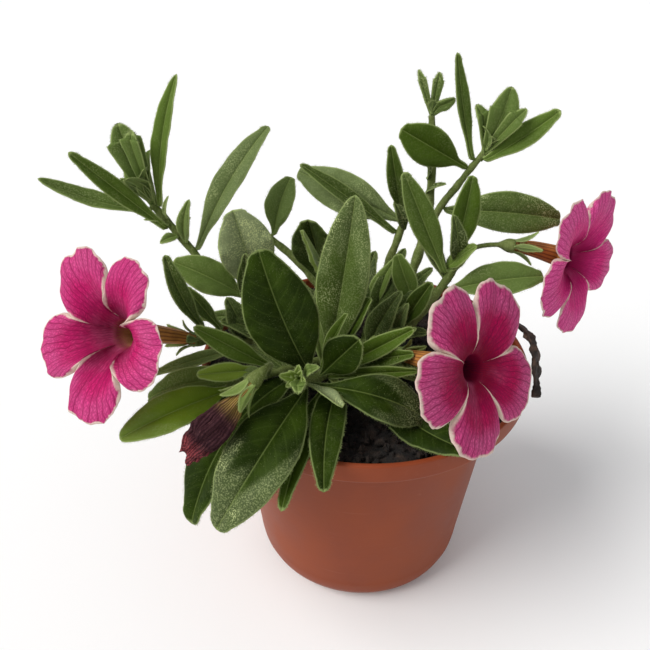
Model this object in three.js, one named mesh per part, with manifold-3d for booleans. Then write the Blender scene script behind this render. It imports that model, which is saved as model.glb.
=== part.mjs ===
// A young petunia in a round plastic nursery pot, in millimetres with +Z up.
// The origin is the middle of the pot's flat underside. -Y is the front.
import * as THREE from 'three';
import { mergeVertices } from 'three/addons/utils/BufferGeometryUtils.js';
import Module from 'manifold-3d';

const wasm = await Module();
wasm.setup();

// ---- driving dimensions -------------------------------------------------
const RIM_RADIUS = 52.5;
const POT_HEIGHT = 81.5;
const RIM_BAND = 6.4;
const WALL = 1.6;
const WALL_TOP_RADIUS = 43.4;
const BASE_RADIUS = 36.5;
const BASE_ROUNDING = 12;
const POT_SIDES = 44;
const DRAIN_HOLES = 6;
const DRAIN_RADIUS = 3.5;
const DRAIN_CIRCLE = 19;

const GAP = 0.35;
const SOIL_TOP = 77.6;
const SOIL_LUMPS = 0.7;

const STEM_SIDES = 7;
const STEM_STEPS = 9;
const LEAF_ROWS = 11;
const SMALL_LEAF_ROWS = 8;
const SMALL_LEAF_WIDTH = 8;
const BLADE_THICKNESS = 0.8;
const RIB_HALF_WIDTH = 0.5;
const PETIOLE_HALF_WIDTH = 1.1;
const BASE_TAPER = 0.95;
const TIP_TAPER = 0.6;

const PETAL_COLUMNS = 30;
const LOBES = 5;
const NOTCH = 0.46;
const PETAL_THICKNESS = 0.7;
const TUBE_START_RADIUS = 1.7;
const MOUTH_RADIUS = 4.2;
const LIMB_REFLEX = 2.5;
const SEPAL_LENGTH = 9;
const CUP_RADIUS = 2.8;
const STALK_RADIUS = 0.8;

// ---- finishes -----------------------------------------------------------
const finish = (color, roughness) => new THREE.MeshStandardMaterial({ color, roughness, metalness: 0 });
const POT_PLASTIC = [0x8a4a33, 0.5];
const SOIL_PEAT = [0x1c1410, 1];
const STEM_GREEN = [0x6f8452, 0.7];
const LEAF_GREEN = [0x35502b, 0.6];
const PETAL_PINK = [0xc2246f, 0.6];
const WILTED_PURPLE = [0x5a2a3a, 0.8];

// ---- shared geometry helpers --------------------------------------------
const vec = ([x, y, z]) => new THREE.Vector3(x, y, z);
const mix = (from, to, share) => from + (to - from) * share;

/** Faces turned so that they all point out of the body. */
function outward(geometry) {
  const spots = geometry.attributes.position;
  const index = geometry.index.array;
  const [a, b, c] = [new THREE.Vector3(), new THREE.Vector3(), new THREE.Vector3()];
  let volume = 0;
  for (let i = 0; i < index.length; i += 3) {
    a.fromBufferAttribute(spots, index[i]);
    b.fromBufferAttribute(spots, index[i + 1]);
    c.fromBufferAttribute(spots, index[i + 2]);
    volume += a.dot(b.cross(c));
  }
  if (volume < 0) {
    for (let i = 0; i < index.length; i += 3) {
      [index[i + 1], index[i + 2]] = [index[i + 2], index[i + 1]];
    }
  }
  return geometry;
}

/** Only positions, with the shared ones merged. */
function bare(geometry) {
  geometry.deleteAttribute('normal');
  geometry.deleteAttribute('uv');
  return mergeVertices(geometry, 1e-4);
}

/** A sphere's net with each vertex moved to place(row, column); the first and last rows are points. */
function shapedSphere(columns, rows, place) {
  const geometry = new THREE.SphereGeometry(1, columns, rows);
  const spots = geometry.attributes.position;
  for (let row = 0; row <= rows; row += 1) {
    for (let column = 0; column <= columns; column += 1) {
      const spot = place(row, column % columns);
      spots.setXYZ(row * (columns + 1) + column, spot.x, spot.y, spot.z);
    }
  }
  return outward(bare(geometry));
}

function toSolid(geometry) {
  const vertProperties = new Float32Array(geometry.attributes.position.array);
  const triVerts = new Uint32Array(geometry.index.array);
  return new wasm.Manifold(new wasm.Mesh({ numProp: 3, vertProperties, triVerts }));
}

function fromSolid(solid) {
  const { vertProperties, triVerts } = solid.getMesh();
  const geometry = new THREE.BufferGeometry();
  geometry.setAttribute('position', new THREE.BufferAttribute(vertProperties, 3));
  geometry.setIndex(new THREE.BufferAttribute(triVerts, 1));
  return geometry;
}

const joined = (geometries) => fromSolid(
  geometries.map(toSolid).reduce((whole, next) => whole.add(next)),
);

/** Two directions square to an axis, the first as near to the wanted one as it can be. */
function squareTo(axis, wanted) {
  const first = wanted.clone().addScaledVector(axis, -wanted.dot(axis)).normalize();
  return [first, new THREE.Vector3().crossVectors(axis, first)];
}

// ---- pot and soil -------------------------------------------------------
function potProfile() {
  const ledge = POT_HEIGHT - RIM_BAND;
  const outline = new THREE.Path();
  outline.moveTo(0, 0);
  outline.lineTo(BASE_RADIUS - BASE_ROUNDING, 0);
  outline.quadraticCurveTo(BASE_RADIUS - 1, 0.4, BASE_RADIUS + 0.4, BASE_ROUNDING);
  outline.lineTo(WALL_TOP_RADIUS, ledge - 5);
  outline.quadraticCurveTo(WALL_TOP_RADIUS + 1, ledge, RIM_RADIUS, ledge);
  outline.lineTo(RIM_RADIUS, POT_HEIGHT);
  outline.lineTo(RIM_RADIUS - WALL, POT_HEIGHT);
  outline.lineTo(RIM_RADIUS - WALL, ledge + WALL);
  outline.lineTo(WALL_TOP_RADIUS - WALL, ledge + WALL - 1);
  outline.lineTo(BASE_RADIUS - WALL, BASE_ROUNDING);
  outline.quadraticCurveTo(BASE_RADIUS - 3, WALL + 1, BASE_RADIUS - BASE_ROUNDING, WALL + 0.4);
  outline.lineTo(0, WALL + 0.4);
  return outline.getPoints(4);
}

function pot() {
  let body = toSolid(outward(bare(new THREE.LatheGeometry(potProfile(), POT_SIDES))).rotateX(Math.PI / 2));
  for (let i = 0; i < DRAIN_HOLES; i += 1) {
    const angle = (i / DRAIN_HOLES) * 2 * Math.PI;
    const drill = new THREE.CylinderGeometry(DRAIN_RADIUS, DRAIN_RADIUS, 10, 12).rotateX(Math.PI / 2);
    drill.translate(DRAIN_CIRCLE * Math.cos(angle), DRAIN_CIRCLE * Math.sin(angle), 0);
    body = body.subtract(toSolid(bare(drill)));
  }
  return fromSolid(body);
}

/** Small smooth lumps, the sum of a few waves across the ground. */
const lumps = (x, y) => Math.sin(0.31 * x + 0.17 * y) + Math.sin(0.23 * x - 0.36 * y + 2)
  + 0.6 * Math.sin(0.55 * x + 0.42 * y + 1);

function soil() {
  const ledge = POT_HEIGHT - RIM_BAND + WALL + GAP;
  const rings = [
    [BASE_RADIUS - BASE_ROUNDING - 1, WALL + 0.4 + GAP],
    [BASE_RADIUS - 6, WALL + 4],
    [BASE_RADIUS - WALL - 1, BASE_ROUNDING + 1],
    [WALL_TOP_RADIUS - WALL - 1, ledge - 1.5],
    [WALL_TOP_RADIUS - WALL, ledge],
    [RIM_RADIUS - WALL - 0.6, ledge],
    [RIM_RADIUS - WALL - 0.6, SOIL_TOP],
    [42, SOIL_TOP],
    [30, SOIL_TOP],
    [18, SOIL_TOP],
    [8, SOIL_TOP],
  ];
  const columns = 30;
  return shapedSphere(columns, rings.length + 1, (row, column) => {
    const angle = (column / columns) * 2 * Math.PI;
    if (row === 0) return new THREE.Vector3(0, 0, WALL + 0.4 + GAP);
    if (row === rings.length + 1) return new THREE.Vector3(0, 0, SOIL_TOP);
    const [radius, height] = rings[row - 1];
    const x = radius * Math.cos(angle);
    const y = radius * Math.sin(angle);
    const free = radius > 10 && radius < 45 && height === SOIL_TOP ? SOIL_LUMPS : 0;
    return new THREE.Vector3(x, y, height + free * lumps(x, y));
  });
}

// ---- stems --------------------------------------------------------------
// Each stem runs from the crown at the middle of the pot, through points chosen along its length.
const CROWN_TOP = 84;
const stems = {
  front: { thick: 2.0, thin: 1.5, route: [[-2, -2, 80], [-8, -13, 86], [-15, -24, 89], [-19, -30, 92]] },
  left: {
    thick: 1.9, thin: 1.1,
    route: [[-2, 1, 80], [-20, 7, 88], [-38, 11, 96], [-48, 14, 101], [-59, 21, 111], [-69, 26, 122]],
  },
  left_low: { thick: 1.7, thin: 1.0, route: [[-2, -1, 80], [-20, -5, 88], [-36, -9, 92], [-51, -11, 96]] },
  left_front: {
    thick: 1.6, thin: 1.0,
    route: [[-2, -1, 80], [-16, -12, 86], [-30, -21, 88], [-41, -27, 88]],
  },
  back_left: { thick: 1.7, thin: 1.1, route: [[-1, 2, 80], [-12, 18, 92], [-26, 28, 104], [-35, 32, 109]] },
  back: { thick: 1.8, thin: 1.2, route: [[0, 2, 80], [5, 17, 93], [11, 27, 106], [15, 33, 115]] },
  right_tall: {
    thick: 2.0, thin: 1.2,
    route: [[2, 1, 80], [13, 15, 93], [20, 28, 106], [23, 36, 118], [23, 40, 134], [22, 42, 146]],
  },
  right_outer: {
    thick: 1.4, thin: 1.0,
    route: [[20, 28, 106], [25, 31, 117], [31, 32, 126], [39, 35, 136]],
  },
  right_low: {
    thick: 1.9, thin: 1.2,
    route: [[2, 0, 80], [12, 0, 89], [21, 4, 99], [28, 9, 107], [31, 13, 112]],
  },
};
for (const stem of Object.values(stems)) stem.curve = new THREE.CatmullRomCurve3(stem.route.map(vec));

/** A round bar along a curve, thinning from one radius to another, with flat ends. */
function taperedBar(curve, thick, thin, sides, steps) {
  const [side, other] = squareTo(curve.getTangentAt(0), new THREE.Vector3(1, 0.3, 0.2));
  return shapedSphere(sides, steps + 2, (row, column) => {
    const along = Math.min(Math.max(row - 1, 0), steps) / steps;
    const centre = curve.getPointAt(along);
    if (row === 0 || row === steps + 2) return centre;
    const tangent = curve.getTangentAt(along);
    const turn = new THREE.Quaternion().setFromUnitVectors(curve.getTangentAt(0), tangent);
    const angle = (column / sides) * 2 * Math.PI;
    const spoke = side.clone().multiplyScalar(Math.cos(angle)).addScaledVector(other, Math.sin(angle));
    return centre.addScaledVector(spoke.applyQuaternion(turn), mix(thick, thin, along));
  });
}

function allStems() {
  const ground = new THREE.Vector3(0, 0, SOIL_TOP + GAP);
  const crown = new THREE.LineCurve3(ground, new THREE.Vector3(0, 0, CROWN_TOP));
  const bars = [taperedBar(crown, 4.5, 3, 10, 2)];
  for (const { curve, thick, thin } of Object.values(stems)) {
    bars.push(taperedBar(curve, thick, thin, STEM_SIDES, STEM_STEPS));
  }
  return joined(bars);
}

// ---- leaves -------------------------------------------------------------
/**
 * A blade on a curved midrib from its base to its tip. `face` is the way its upper side looks, `arch`
 * the midrib's rise in its middle, `bow` its sideways bend, `fold` the angle in degrees that each half
 * turns up, and `peak` the share of the length where it is widest.
 */
function blade(base, tip, width, face, { arch = 2, bow = 0, fold = 14, peak = 0.52 } = {}) {
  const chord = vec(tip).sub(base);
  const [up] = squareTo(chord.clone().normalize(), vec(face));
  const across = new THREE.Vector3().crossVectors(chord, up).normalize();
  const widest = Math.log(0.5) / Math.log(peak);
  const turn = THREE.MathUtils.degToRad(fold);
  const rows = width > SMALL_LEAF_WIDTH ? LEAF_ROWS : SMALL_LEAF_ROWS;
  return shapedSphere(5, rows, (row, column) => {
    const step = Math.max(row - 1, 0) / (rows - 1);
    const along = 1 - (1 - step) ** 1.25;
    const rise = 4 * along * (1 - along);
    const slope = 4 * (1 - 2 * along);
    const centre = base.clone().addScaledVector(chord, along).addScaledVector(up, arch * rise);
    centre.addScaledVector(across, bow * rise);
    if (row === 0 || row === rows) return centre;
    const tangent = chord.clone().addScaledVector(up, arch * slope).addScaledVector(across, bow * slope);
    tangent.normalize();
    const side = new THREE.Vector3().crossVectors(tangent, up).normalize();
    const normal = new THREE.Vector3().crossVectors(side, tangent);
    const bulge = Math.sin(Math.PI * along ** widest) ** mix(BASE_TAPER, TIP_TAPER, along);
    const half = Math.max((width / 2) * bulge, PETIOLE_HALF_WIDTH * (1 - along));
    const rib = Math.min(RIB_HALF_WIDTH, half * 0.4);
    const depth = (BLADE_THICKNESS / 2) * mix(1.2, 0.6, along);
    const section = [
      [-half * Math.cos(turn), half * Math.sin(turn)],
      [0, depth],
      [half * Math.cos(turn), half * Math.sin(turn)],
      [rib, -depth],
      [-rib, -depth],
    ];
    const [sideways, upward] = section[column];
    return centre.addScaledVector(side, sideways).addScaledVector(normal, upward);
  });
}

/** A leaf that grows out of a stem's bark, `at` being the share of the stem's length. */
function leaf(stemName, at, tip, width, face, bends) {
  const { curve, thick, thin } = stems[stemName];
  const axis = curve.getPointAt(at);
  const [away] = squareTo(curve.getTangentAt(at), vec(tip).sub(axis));
  const base = axis.addScaledVector(away, mix(thick, thin, at) + PETIOLE_HALF_WIDTH + GAP);
  return blade(base, tip, width, face, bends);
}

/** The small leaves at a stem's end, grown together on a short core. */
function tuft(stemName, blades) {
  const { curve, thin } = stems[stemName];
  const ahead = curve.getTangentAt(1);
  const start = curve.getPointAt(1).addScaledVector(ahead, GAP);
  const end = start.clone().addScaledVector(ahead, 3);
  const core = taperedBar(new THREE.LineCurve3(start, end), thin, thin * 0.6, STEM_SIDES, 2);
  const middle = start.clone().lerp(end, 0.5);
  return joined([core, ...blades.map(([tip, width, face, bends]) => blade(middle, tip, width, face, bends))]);
}

// Each leaf: its stem, its place along it, its tip, its width, the way it faces, and how it bends.
const leaves = {
  leaf_front_upper: ['front', 0.9, [-30, -24, 131], 20, [0.1, -1, 0.4], { bow: -1, fold: 8 }],
  leaf_front_lower: ['front', 0.93, [-41.5, -61, 67], 19.5, [-0.3, -1, 1.2], { arch: 8, bow: -2, fold: 10 }],
  leaf_front_oval: ['front', 0.78, [-3, -27, 105], 12, [-0.3, -1, 0.4], { arch: -1 }],
  leaf_front_right: ['front', 0.94, [16, -33, 81.5], 14, [0, -0.6, 1], { arch: 6, fold: 4, peak: 0.62 }],
  leaf_front_curled: ['front', 0.97, [-8, -41, 92], 6, [0, 0.4, 1], { arch: 0, fold: 30 }],
  leaf_over_rim: ['front', 0.45, [-13, -62, 82], 10, [0, -0.5, 1], { arch: 2, bow: 2 }],
  leaf_rim_left: ['front', 0.6, [-24, -62, 75], 7, [0, -0.5, 1], { arch: 3.8, bow: 1 }],
  leaf_left_hanging: ['left_front', 0.5, [-50, -53, 60], 19, [-0.7, -0.7, 1], { arch: 10.5 }],
  leaf_tall: ['front', 0.6, [-4, 0, 136], 16, [-0.2, -1, 0.3], { arch: -3, fold: 16 }],
  leaf_behind_edge: ['back_left', 0.2, [-19, -4, 127], 9, [-1, -0.5, 0.2], { arch: -1, fold: 30 }],
  leaf_pair_small: ['front', 0.72, [-6, -17, 107], 5, [-1, -0.6, 0.3], { arch: 1, fold: 30 }],
  leaf_pair_large: ['front', 0.5, [1, -10, 108], 7, [-1, -0.8, 0.3], { arch: 1, fold: 25 }],
  leaf_spray_upper: ['front', 0.66, [13, -19, 103], 7, [-0.4, -1, 0.8], { arch: -1, fold: 25 }],
  leaf_spray_middle: ['front', 0.44, [13, -23, 97], 6, [-0.2, -1, 0.8], { arch: 1, fold: 25 }],
  leaf_spray_lower: ['front', 0.68, [14, -26, 93], 4.5, [0, -1, 0.8], { arch: 3, fold: 25 }],
  leaf_rim_right: ['front', 0.18, [26, -50, 84.6], 12.5, [0, -0.5, 1],
    { arch: -2.6, bow: 3, fold: 0, peak: 0.62 }],
  leaf_dark_back: ['back_left', 0.5, [-18, 14, 122], 16, [-0.3, -1, 0.4], { arch: -2 }],
  leaf_round_left: ['left', 0.45, [-41, 12, 126], 18, [0.3, -1, 0.5], { arch: 2, peak: 0.58 }],
  leaf_flat_left: ['left', 0.36, [-52, -3, 96], 5, [0, -0.5, 1], { arch: 1 }],
  leaf_left_long: ['left_front', 0.72, [-50, -21, 105], 7, [0.2, -1, 0.6], { arch: 1, fold: 20 }],
  leaf_left_small: ['left_front', 0.82, [-49, -29, 94], 6, [0, -1, 0.8], { arch: 1, fold: 20 }],
  leaf_left_light: ['left_front', 0.96, [-71, -38, 78], 12, [-0.2, -0.8, 1], { arch: 3 }],
  leaf_left_upper: ['left_front', 0.84, [-67, -19, 77], 10, [-0.3, -0.6, 1], { arch: 5 }],
  leaf_dark_long: ['left_low', 0.99, [-59, -6, 120], 6, [0.6, -1, 0.2], { arch: 2, bow: -1.5, fold: 20 }],
  leaf_dark_short: ['left_low', 0.88, [-54.5, -4, 108], 5, [0.4, -1, 0.2], { arch: 1, fold: 20 }],
  leaf_left_under: ['left_low', 0.72, [-65, -17, 85], 5, [0, -0.4, 1], { arch: 1 }],
  leaf_left_broad: ['left', 0.5, [-61, 10, 109], 12, [-0.2, -0.7, 1], { arch: 2 }],
  leaf_shoot_left: ['left', 0.99, [-104, 25, 131], 7, [0.2, -0.5, 1], { arch: -3, fold: 20 }],
  leaf_shoot_side: ['left', 0.9, [-91, 21, 141], 6.5, [0.4, -1, 0.4], { arch: -1 }],
  leaf_shoot_upright: ['left', 0.98, [-57, 30, 162], 7, [-0.6, -1, 0], { arch: 3, fold: 18 }],
  leaf_shoot_long: ['left', 0.76, [-31, 40, 143], 10, [-0.5, -1, 0.5], { arch: 4, fold: 16 }],
  leaf_back_left: ['back_left', 0.92, [-24, 39, 126], 11, [-0.5, -1, 0.4], { arch: 2 }],
  leaf_back_long: ['back', 0.95, [-22, 44, 126], 14, [0, -1, 0.5], { arch: 3, fold: 10 }],
  leaf_back_narrow: ['back', 0.86, [-21, 35, 132], 6, [0, -1, 1], { arch: 1, fold: 20 }],
  leaf_back_small: ['back', 0.98, [8, 28, 141], 6, [-0.2, -1, 0.2], { arch: 1 }],
  leaf_tall_back: ['right_outer', 0.8, [11, 31, 145], 13, [0, -1, 0.2], { arch: 1, peak: 0.6 }],
  leaf_right_long: ['right_low', 0.8, [11, 15, 137], 9, [0, -1, 0.3], { arch: -1 }],
  leaf_right_upright: ['right_low', 0.92, [33, 20, 134], 9, [0.1, -1, 0.2], { arch: 1 }],
  leaf_right_back: ['right_outer', 0.4, [66, 29, 115], 14, [0.2, -1, 0.6], { arch: 5 }],
  leaf_right_flat: ['right_low', 0.72, [56, 6, 106], 12, [0, -0.7, 1], { arch: 2 }],
  leaf_right_front: ['right_low', 0.35, [20, -1, 108], 7, [-0.6, -1, 0.4], { arch: 1, fold: 20 }],
  leaf_crown_right: ['right_low', 0.5, [10, 10, 112], 8, [-0.4, -1, 0.6], { arch: 1, fold: 20 }],
  leaf_outer_right: ['right_outer', 0.96, [60, 30, 151], 8, [-0.3, -1, 0.8], { arch: -2 }],
  leaf_outer_left: ['right_outer', 0.9, [28, 40, 166], 5, [0.3, -1, 0.2], { arch: -1, fold: 20 }],
};

const tufts = {
  tuft_front: ['front', [
    [[-23, -31, 99], 4, [1, -0.3, 0.3]],
    [[-14, -32, 99], 4, [-1, -0.3, 0.3]],
    [[-20, -39, 95], 5, [0, 0.3, 1]],
  ]],
  tuft_left: ['left', [
    [[-77, 29, 147.5], 12, [0.3, -1, 0.1]],
    [[-83, 24, 146], 8, [0.6, -1, 0.2]],
    [[-71.5, 24, 147], 9, [-0.4, -1, 0.2]],
    [[-67, 27, 139], 6, [-0.8, -1, 0.2]],
  ]],
  tuft_right_tall: ['right_tall', [
    [[17, 44, 160], 3, [0, -1, 0], { arch: 1 }],
    [[24, 45, 159], 4, [0, -1, 0], { arch: 1 }],
    [[29, 40, 152], 4, [0, -1, 0], { arch: 1 }],
  ]],
  tuft_right_outer: ['right_outer', [
    [[45, 35, 157], 10, [0, -1, 0.1]],
    [[35, 37, 151], 6, [0.5, -1, 0.2]],
    [[50, 32, 151], 6, [-0.5, -1, 0.2]],
  ]],
};

// ---- flowers ------------------------------------------------------------
// Each flower: the stem and place it grows from, the seat of its cup and the way the cup points, its
// throat, the way it faces, its turn in degrees, how far its limb flares forward, and each lobe's share of
// the reach and shift in degrees.
const flowers = {
  left: {
    stem: 'left_low', at: 0.6, cup: [-53, -3, 88], toward: [-0.6, -0.55, 0.5],
    throat: [-68.5, -24, 104.5], face: [-0.53, -0.72, 0.42], roll: 38, flare: 12,
    lobes: [1, 1, 1, 0.95, 1], shifts: [0, 18, -8, 26, 10],
  },
  front: {
    stem: 'right_low', at: 0.22, cup: [9, -13, 90], toward: [0.45, -0.8, 0.4],
    throat: [26.5, -36, 101.5], face: [0.62, -0.68, 0.4], roll: 19, flare: 5,
    lobes: [1, 0.96, 0.97, 0.97, 1], shifts: [-3, -8, 1, -12, 12],
  },
  right: {
    stem: 'right_low', at: 0.97, cup: [45, 14, 113], toward: [0.95, 0.2, -0.2],
    throat: [67.5, 20, 105], face: [0.7, -0.7, 0.1], roll: 30, flare: 8,
    lobes: [1, 1, 1, 0.95, 1], shifts: [0, 0, 0, 0, 0],
  },
};
const wilted = { stem: 'left_front', at: 0.74, cup: [-31, -38, 100], toward: [-0.65, -0.5, -0.55] };
const LIMB_RADIUS = 25;
const WILTED_LENGTH = 25;

/** A flower stalk that opens into a cup with five pointed sepals. */
function calyx({ stem, at, cup, toward }) {
  const { curve, thick, thin } = stems[stem];
  const seat = vec(cup);
  const axis = vec(toward).normalize();
  const bend = seat.clone().addScaledVector(axis, -8);
  const bark = curve.getPointAt(at);
  const away = bend.clone().sub(bark).normalize();
  const start = bark.addScaledVector(away, mix(thick, thin, at) + STALK_RADIUS + GAP);
  const stalk = new THREE.QuadraticBezierCurve3(start, bend, seat);
  const stalkRings = 8;
  // radius and height of the cup's rings; the sepals' row has one pair for points and one for notches
  const cupRings = [[CUP_RADIUS, 2.6], null, [CUP_RADIUS - 0.45, 2.8], [CUP_RADIUS - 0.7, 1.3]];
  const columns = 2 * LOBES;
  const lastRow = stalkRings + cupRings.length + 1;
  const [side, other] = squareTo(axis, new THREE.Vector3(0, 0, 1));
  return shapedSphere(columns, lastRow, (row, column) => {
    const angle = (column / columns) * 2 * Math.PI;
    const spoke = side.clone().multiplyScalar(Math.cos(angle)).addScaledVector(other, Math.sin(angle));
    if (row === 0) return start;
    if (row === lastRow) return seat.clone().addScaledVector(axis, 1.3);
    if (row <= stalkRings) {
      const along = (row - 1) / (stalkRings - 1);
      const turn = new THREE.Quaternion().setFromUnitVectors(axis, stalk.getTangentAt(along));
      const radius = STALK_RADIUS * (1 + along ** 4);
      return stalk.getPointAt(along).addScaledVector(spoke.applyQuaternion(turn), radius);
    }
    const sepal = column % 2 === 0 ? [CUP_RADIUS + 2.6, SEPAL_LENGTH] : [CUP_RADIUS - 0.1, 3.4];
    const [radius, height] = cupRings[row - stalkRings - 1] ?? sepal;
    return seat.clone().addScaledVector(axis, height).addScaledVector(spoke, radius);
  });
}

/** How far the limb reaches at an angle: rounded lobes with deep notches between them. */
function limbReach(angle, lobes) {
  const turn = (angle / (2 * Math.PI)) * LOBES;
  const nearest = Math.round(turn) % LOBES;
  const round = Math.abs(Math.cos(Math.PI * turn)) ** 0.3;
  return LIMB_RADIUS * mix(NOTCH, lobes[nearest], round);
}

/** How far the lobes are turned from an even spacing, in radians, blended from each lobe to the next. */
function lobeShift(angle, shifts) {
  const turn = (angle / (2 * Math.PI)) * LOBES;
  const lobe = Math.floor(turn);
  return THREE.MathUtils.degToRad(mix(shifts[lobe], shifts[(lobe + 1) % LOBES], turn - lobe));
}

/** The corolla: a curved tube that widens to the throat, and a flared limb of five lobes. */
function corolla({ cup, toward, throat, face, roll, flare, lobes, shifts }) {
  const axis = vec(toward).normalize();
  const facing = vec(face).normalize();
  const mouth = vec(throat);
  const start = vec(cup).addScaledVector(axis, 1.3 + GAP);
  const tube = new THREE.CubicBezierCurve3(
    start,
    start.clone().addScaledVector(axis, 9),
    mouth.clone().addScaledVector(facing, -10),
    mouth,
  );
  const [upward, sideways] = squareTo(facing, new THREE.Vector3(0, 0, 1));
  const insideDepth = 0.4;
  // first the inner skin from the tube's depth out to the margin, then the outer skin back down
  const rings = [
    ['in', insideDepth], ['in', 0.85], ['front', 0.2], ['front', 0.5], ['front', 0.8],
    ['edge', 1], ['back', 0.7], ['back', 0.25], ['out', 0.85], ['out', 0.4], ['out', 0],
  ];
  const half = PETAL_THICKNESS / 2;
  const skin = { in: -PETAL_THICKNESS, out: 0, front: half, edge: 0, back: -half };
  const lastRow = rings.length + 1;
  return shapedSphere(PETAL_COLUMNS, lastRow, (row, column) => {
    if (row === 0) return tube.getPointAt(insideDepth);
    if (row === lastRow) return start;
    const [part, share] = rings[row - 1];
    const angle = (column / PETAL_COLUMNS) * 2 * Math.PI;
    const turned = angle + THREE.MathUtils.degToRad(roll) + lobeShift(angle, shifts);
    const spoke = upward.clone().multiplyScalar(Math.cos(turned)).addScaledVector(sideways, Math.sin(turned));
    if (part === 'in' || part === 'out') {
      const turn = new THREE.Quaternion().setFromUnitVectors(facing, tube.getTangentAt(share));
      const radius = mix(TUBE_START_RADIUS, MOUTH_RADIUS, share) + skin[part];
      return tube.getPointAt(share).addScaledVector(spoke.applyQuaternion(turn), radius);
    }
    const reach = mix(MOUTH_RADIUS, limbReach(angle, lobes), share);
    const rise = flare * (1 - (1 - share) ** 2) - LIMB_REFLEX * share ** 3;
    return mouth.clone().addScaledVector(spoke, reach).addScaledVector(facing, rise + skin[part]);
  });
}

/** The spent corolla: a limp tube that hangs from its cup and ends in a crumpled, flattened bag. */
function wiltedCorolla({ cup, toward }) {
  const axis = vec(toward).normalize();
  const start = vec(cup).addScaledVector(axis, 1.3 + GAP);
  const [flat, broad] = squareTo(axis, new THREE.Vector3(0.4, -1, 0.6));
  const widths = [1.7, 1.9, 2.3, 3.2, 4.2, 4.9, 5.2, 4.8, 4.2, 3.2];
  const columns = 12;
  return shapedSphere(columns, widths.length + 1, (row, column) => {
    const along = Math.min(Math.max(row - 1, 0), widths.length - 1) / (widths.length - 1);
    const centre = start.clone().addScaledVector(axis, WILTED_LENGTH * along);
    centre.addScaledVector(flat, 2 * Math.sin(Math.PI * along));
    if (row === 0 || row === widths.length + 1) return centre;
    const angle = (column / columns) * 2 * Math.PI;
    const crumple = 1 + 0.12 * along * Math.sin(3 * angle + 9 * along);
    const wide = widths[row - 1] * crumple;
    const thin = wide * mix(1, 0.45, along);
    centre.addScaledVector(flat, thin * Math.cos(angle));
    return centre.addScaledVector(broad, wide * Math.sin(angle));
  });
}

/** A dead leaf, dried and crumpled, that hangs over the rim. */
function witheredLeaf() {
  const route = [[45, 7, 85], [49.5, 5, 88.5], [53.8, 0, 86.5], [54.5, -7, 80], [53.8, -14, 74]];
  const curve = new THREE.CatmullRomCurve3(route.map(vec));
  const columns = 8;
  const steps = 11;
  return shapedSphere(columns, steps + 2, (row, column) => {
    const along = Math.min(Math.max(row - 1, 0), steps) / steps;
    const centre = curve.getPointAt(along);
    if (row === 0 || row === steps + 2) return centre;
    const [out, across] = squareTo(curve.getTangentAt(along), new THREE.Vector3(1, -0.2, 0.5));
    const angle = (column / columns) * 2 * Math.PI;
    const wide = 1.2 + 3.8 * Math.sin(Math.PI * along) * (1 + 0.3 * Math.sin(13 * along));
    const thin = 0.8 + 0.5 * Math.sin(5 * angle + 17 * along);
    centre.addScaledVector(across, wide * Math.cos(angle));
    return centre.addScaledVector(out, thin * Math.sin(angle));
  });
}

// ---- the whole plant ----------------------------------------------------
const plant = new THREE.Group();

function add(name, geometry, [color, roughness]) {
  const mesh = new THREE.Mesh(geometry, finish(color, roughness));
  mesh.name = name;
  plant.add(mesh);
}

add('pot', pot(), POT_PLASTIC);
add('soil', soil(), SOIL_PEAT);
add('stems', allStems(), STEM_GREEN);
for (const [name, parts] of Object.entries(leaves)) add(name, leaf(...parts), LEAF_GREEN);
for (const [name, parts] of Object.entries(tufts)) add(name, tuft(...parts), LEAF_GREEN);
for (const [name, flower] of Object.entries(flowers)) {
  add(`calyx_${name}`, calyx(flower), STEM_GREEN);
  add(`corolla_${name}`, corolla(flower), PETAL_PINK);
}
add('calyx_wilted', calyx(wilted), STEM_GREEN);
add('corolla_wilted', wiltedCorolla(wilted), WILTED_PURPLE);
add('leaf_withered', witheredLeaf(), SOIL_PEAT);

export default plant;
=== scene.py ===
"""A young petunia in a round plastic pot, in metres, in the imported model's frame.

Every leaf, cup and flower is read from its CAD solid as a few curves, and a finer surface is worked out on
those curves.
"""

import itertools
import math

import bpy
import numpy as np
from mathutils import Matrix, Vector


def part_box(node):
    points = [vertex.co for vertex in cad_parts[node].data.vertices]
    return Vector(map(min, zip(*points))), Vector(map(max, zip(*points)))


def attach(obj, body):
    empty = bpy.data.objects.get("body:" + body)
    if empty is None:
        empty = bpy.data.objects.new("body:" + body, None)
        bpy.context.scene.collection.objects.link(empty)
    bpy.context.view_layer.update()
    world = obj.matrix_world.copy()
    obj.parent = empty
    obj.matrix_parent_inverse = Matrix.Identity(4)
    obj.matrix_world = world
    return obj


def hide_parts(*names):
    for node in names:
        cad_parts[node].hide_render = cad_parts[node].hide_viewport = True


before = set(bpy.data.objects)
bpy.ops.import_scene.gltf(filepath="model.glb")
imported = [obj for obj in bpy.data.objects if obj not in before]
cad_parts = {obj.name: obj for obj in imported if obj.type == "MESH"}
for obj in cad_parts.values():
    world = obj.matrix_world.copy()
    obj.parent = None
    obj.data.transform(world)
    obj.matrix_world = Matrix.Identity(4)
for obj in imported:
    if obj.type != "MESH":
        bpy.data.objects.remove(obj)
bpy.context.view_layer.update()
MM = 0.001


# ---- arithmetic ---------------------------------------------------------
def unit(vectors):
    """Each vector divided by its length."""
    return vectors / np.maximum(np.linalg.norm(vectors, axis=-1, keepdims=True), 1e-12)


def eased(low, high, x):
    """0 below low, 1 above high, and 3t^2 - 2t^3 between them."""
    t = np.clip((x - low) / (high - low), 0, 1)
    return t * t * (3 - 2 * t)


def hump(x, width):
    """A bell, exp(-(x / width)^2)."""
    return np.exp(-((x / width) ** 2))


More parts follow.
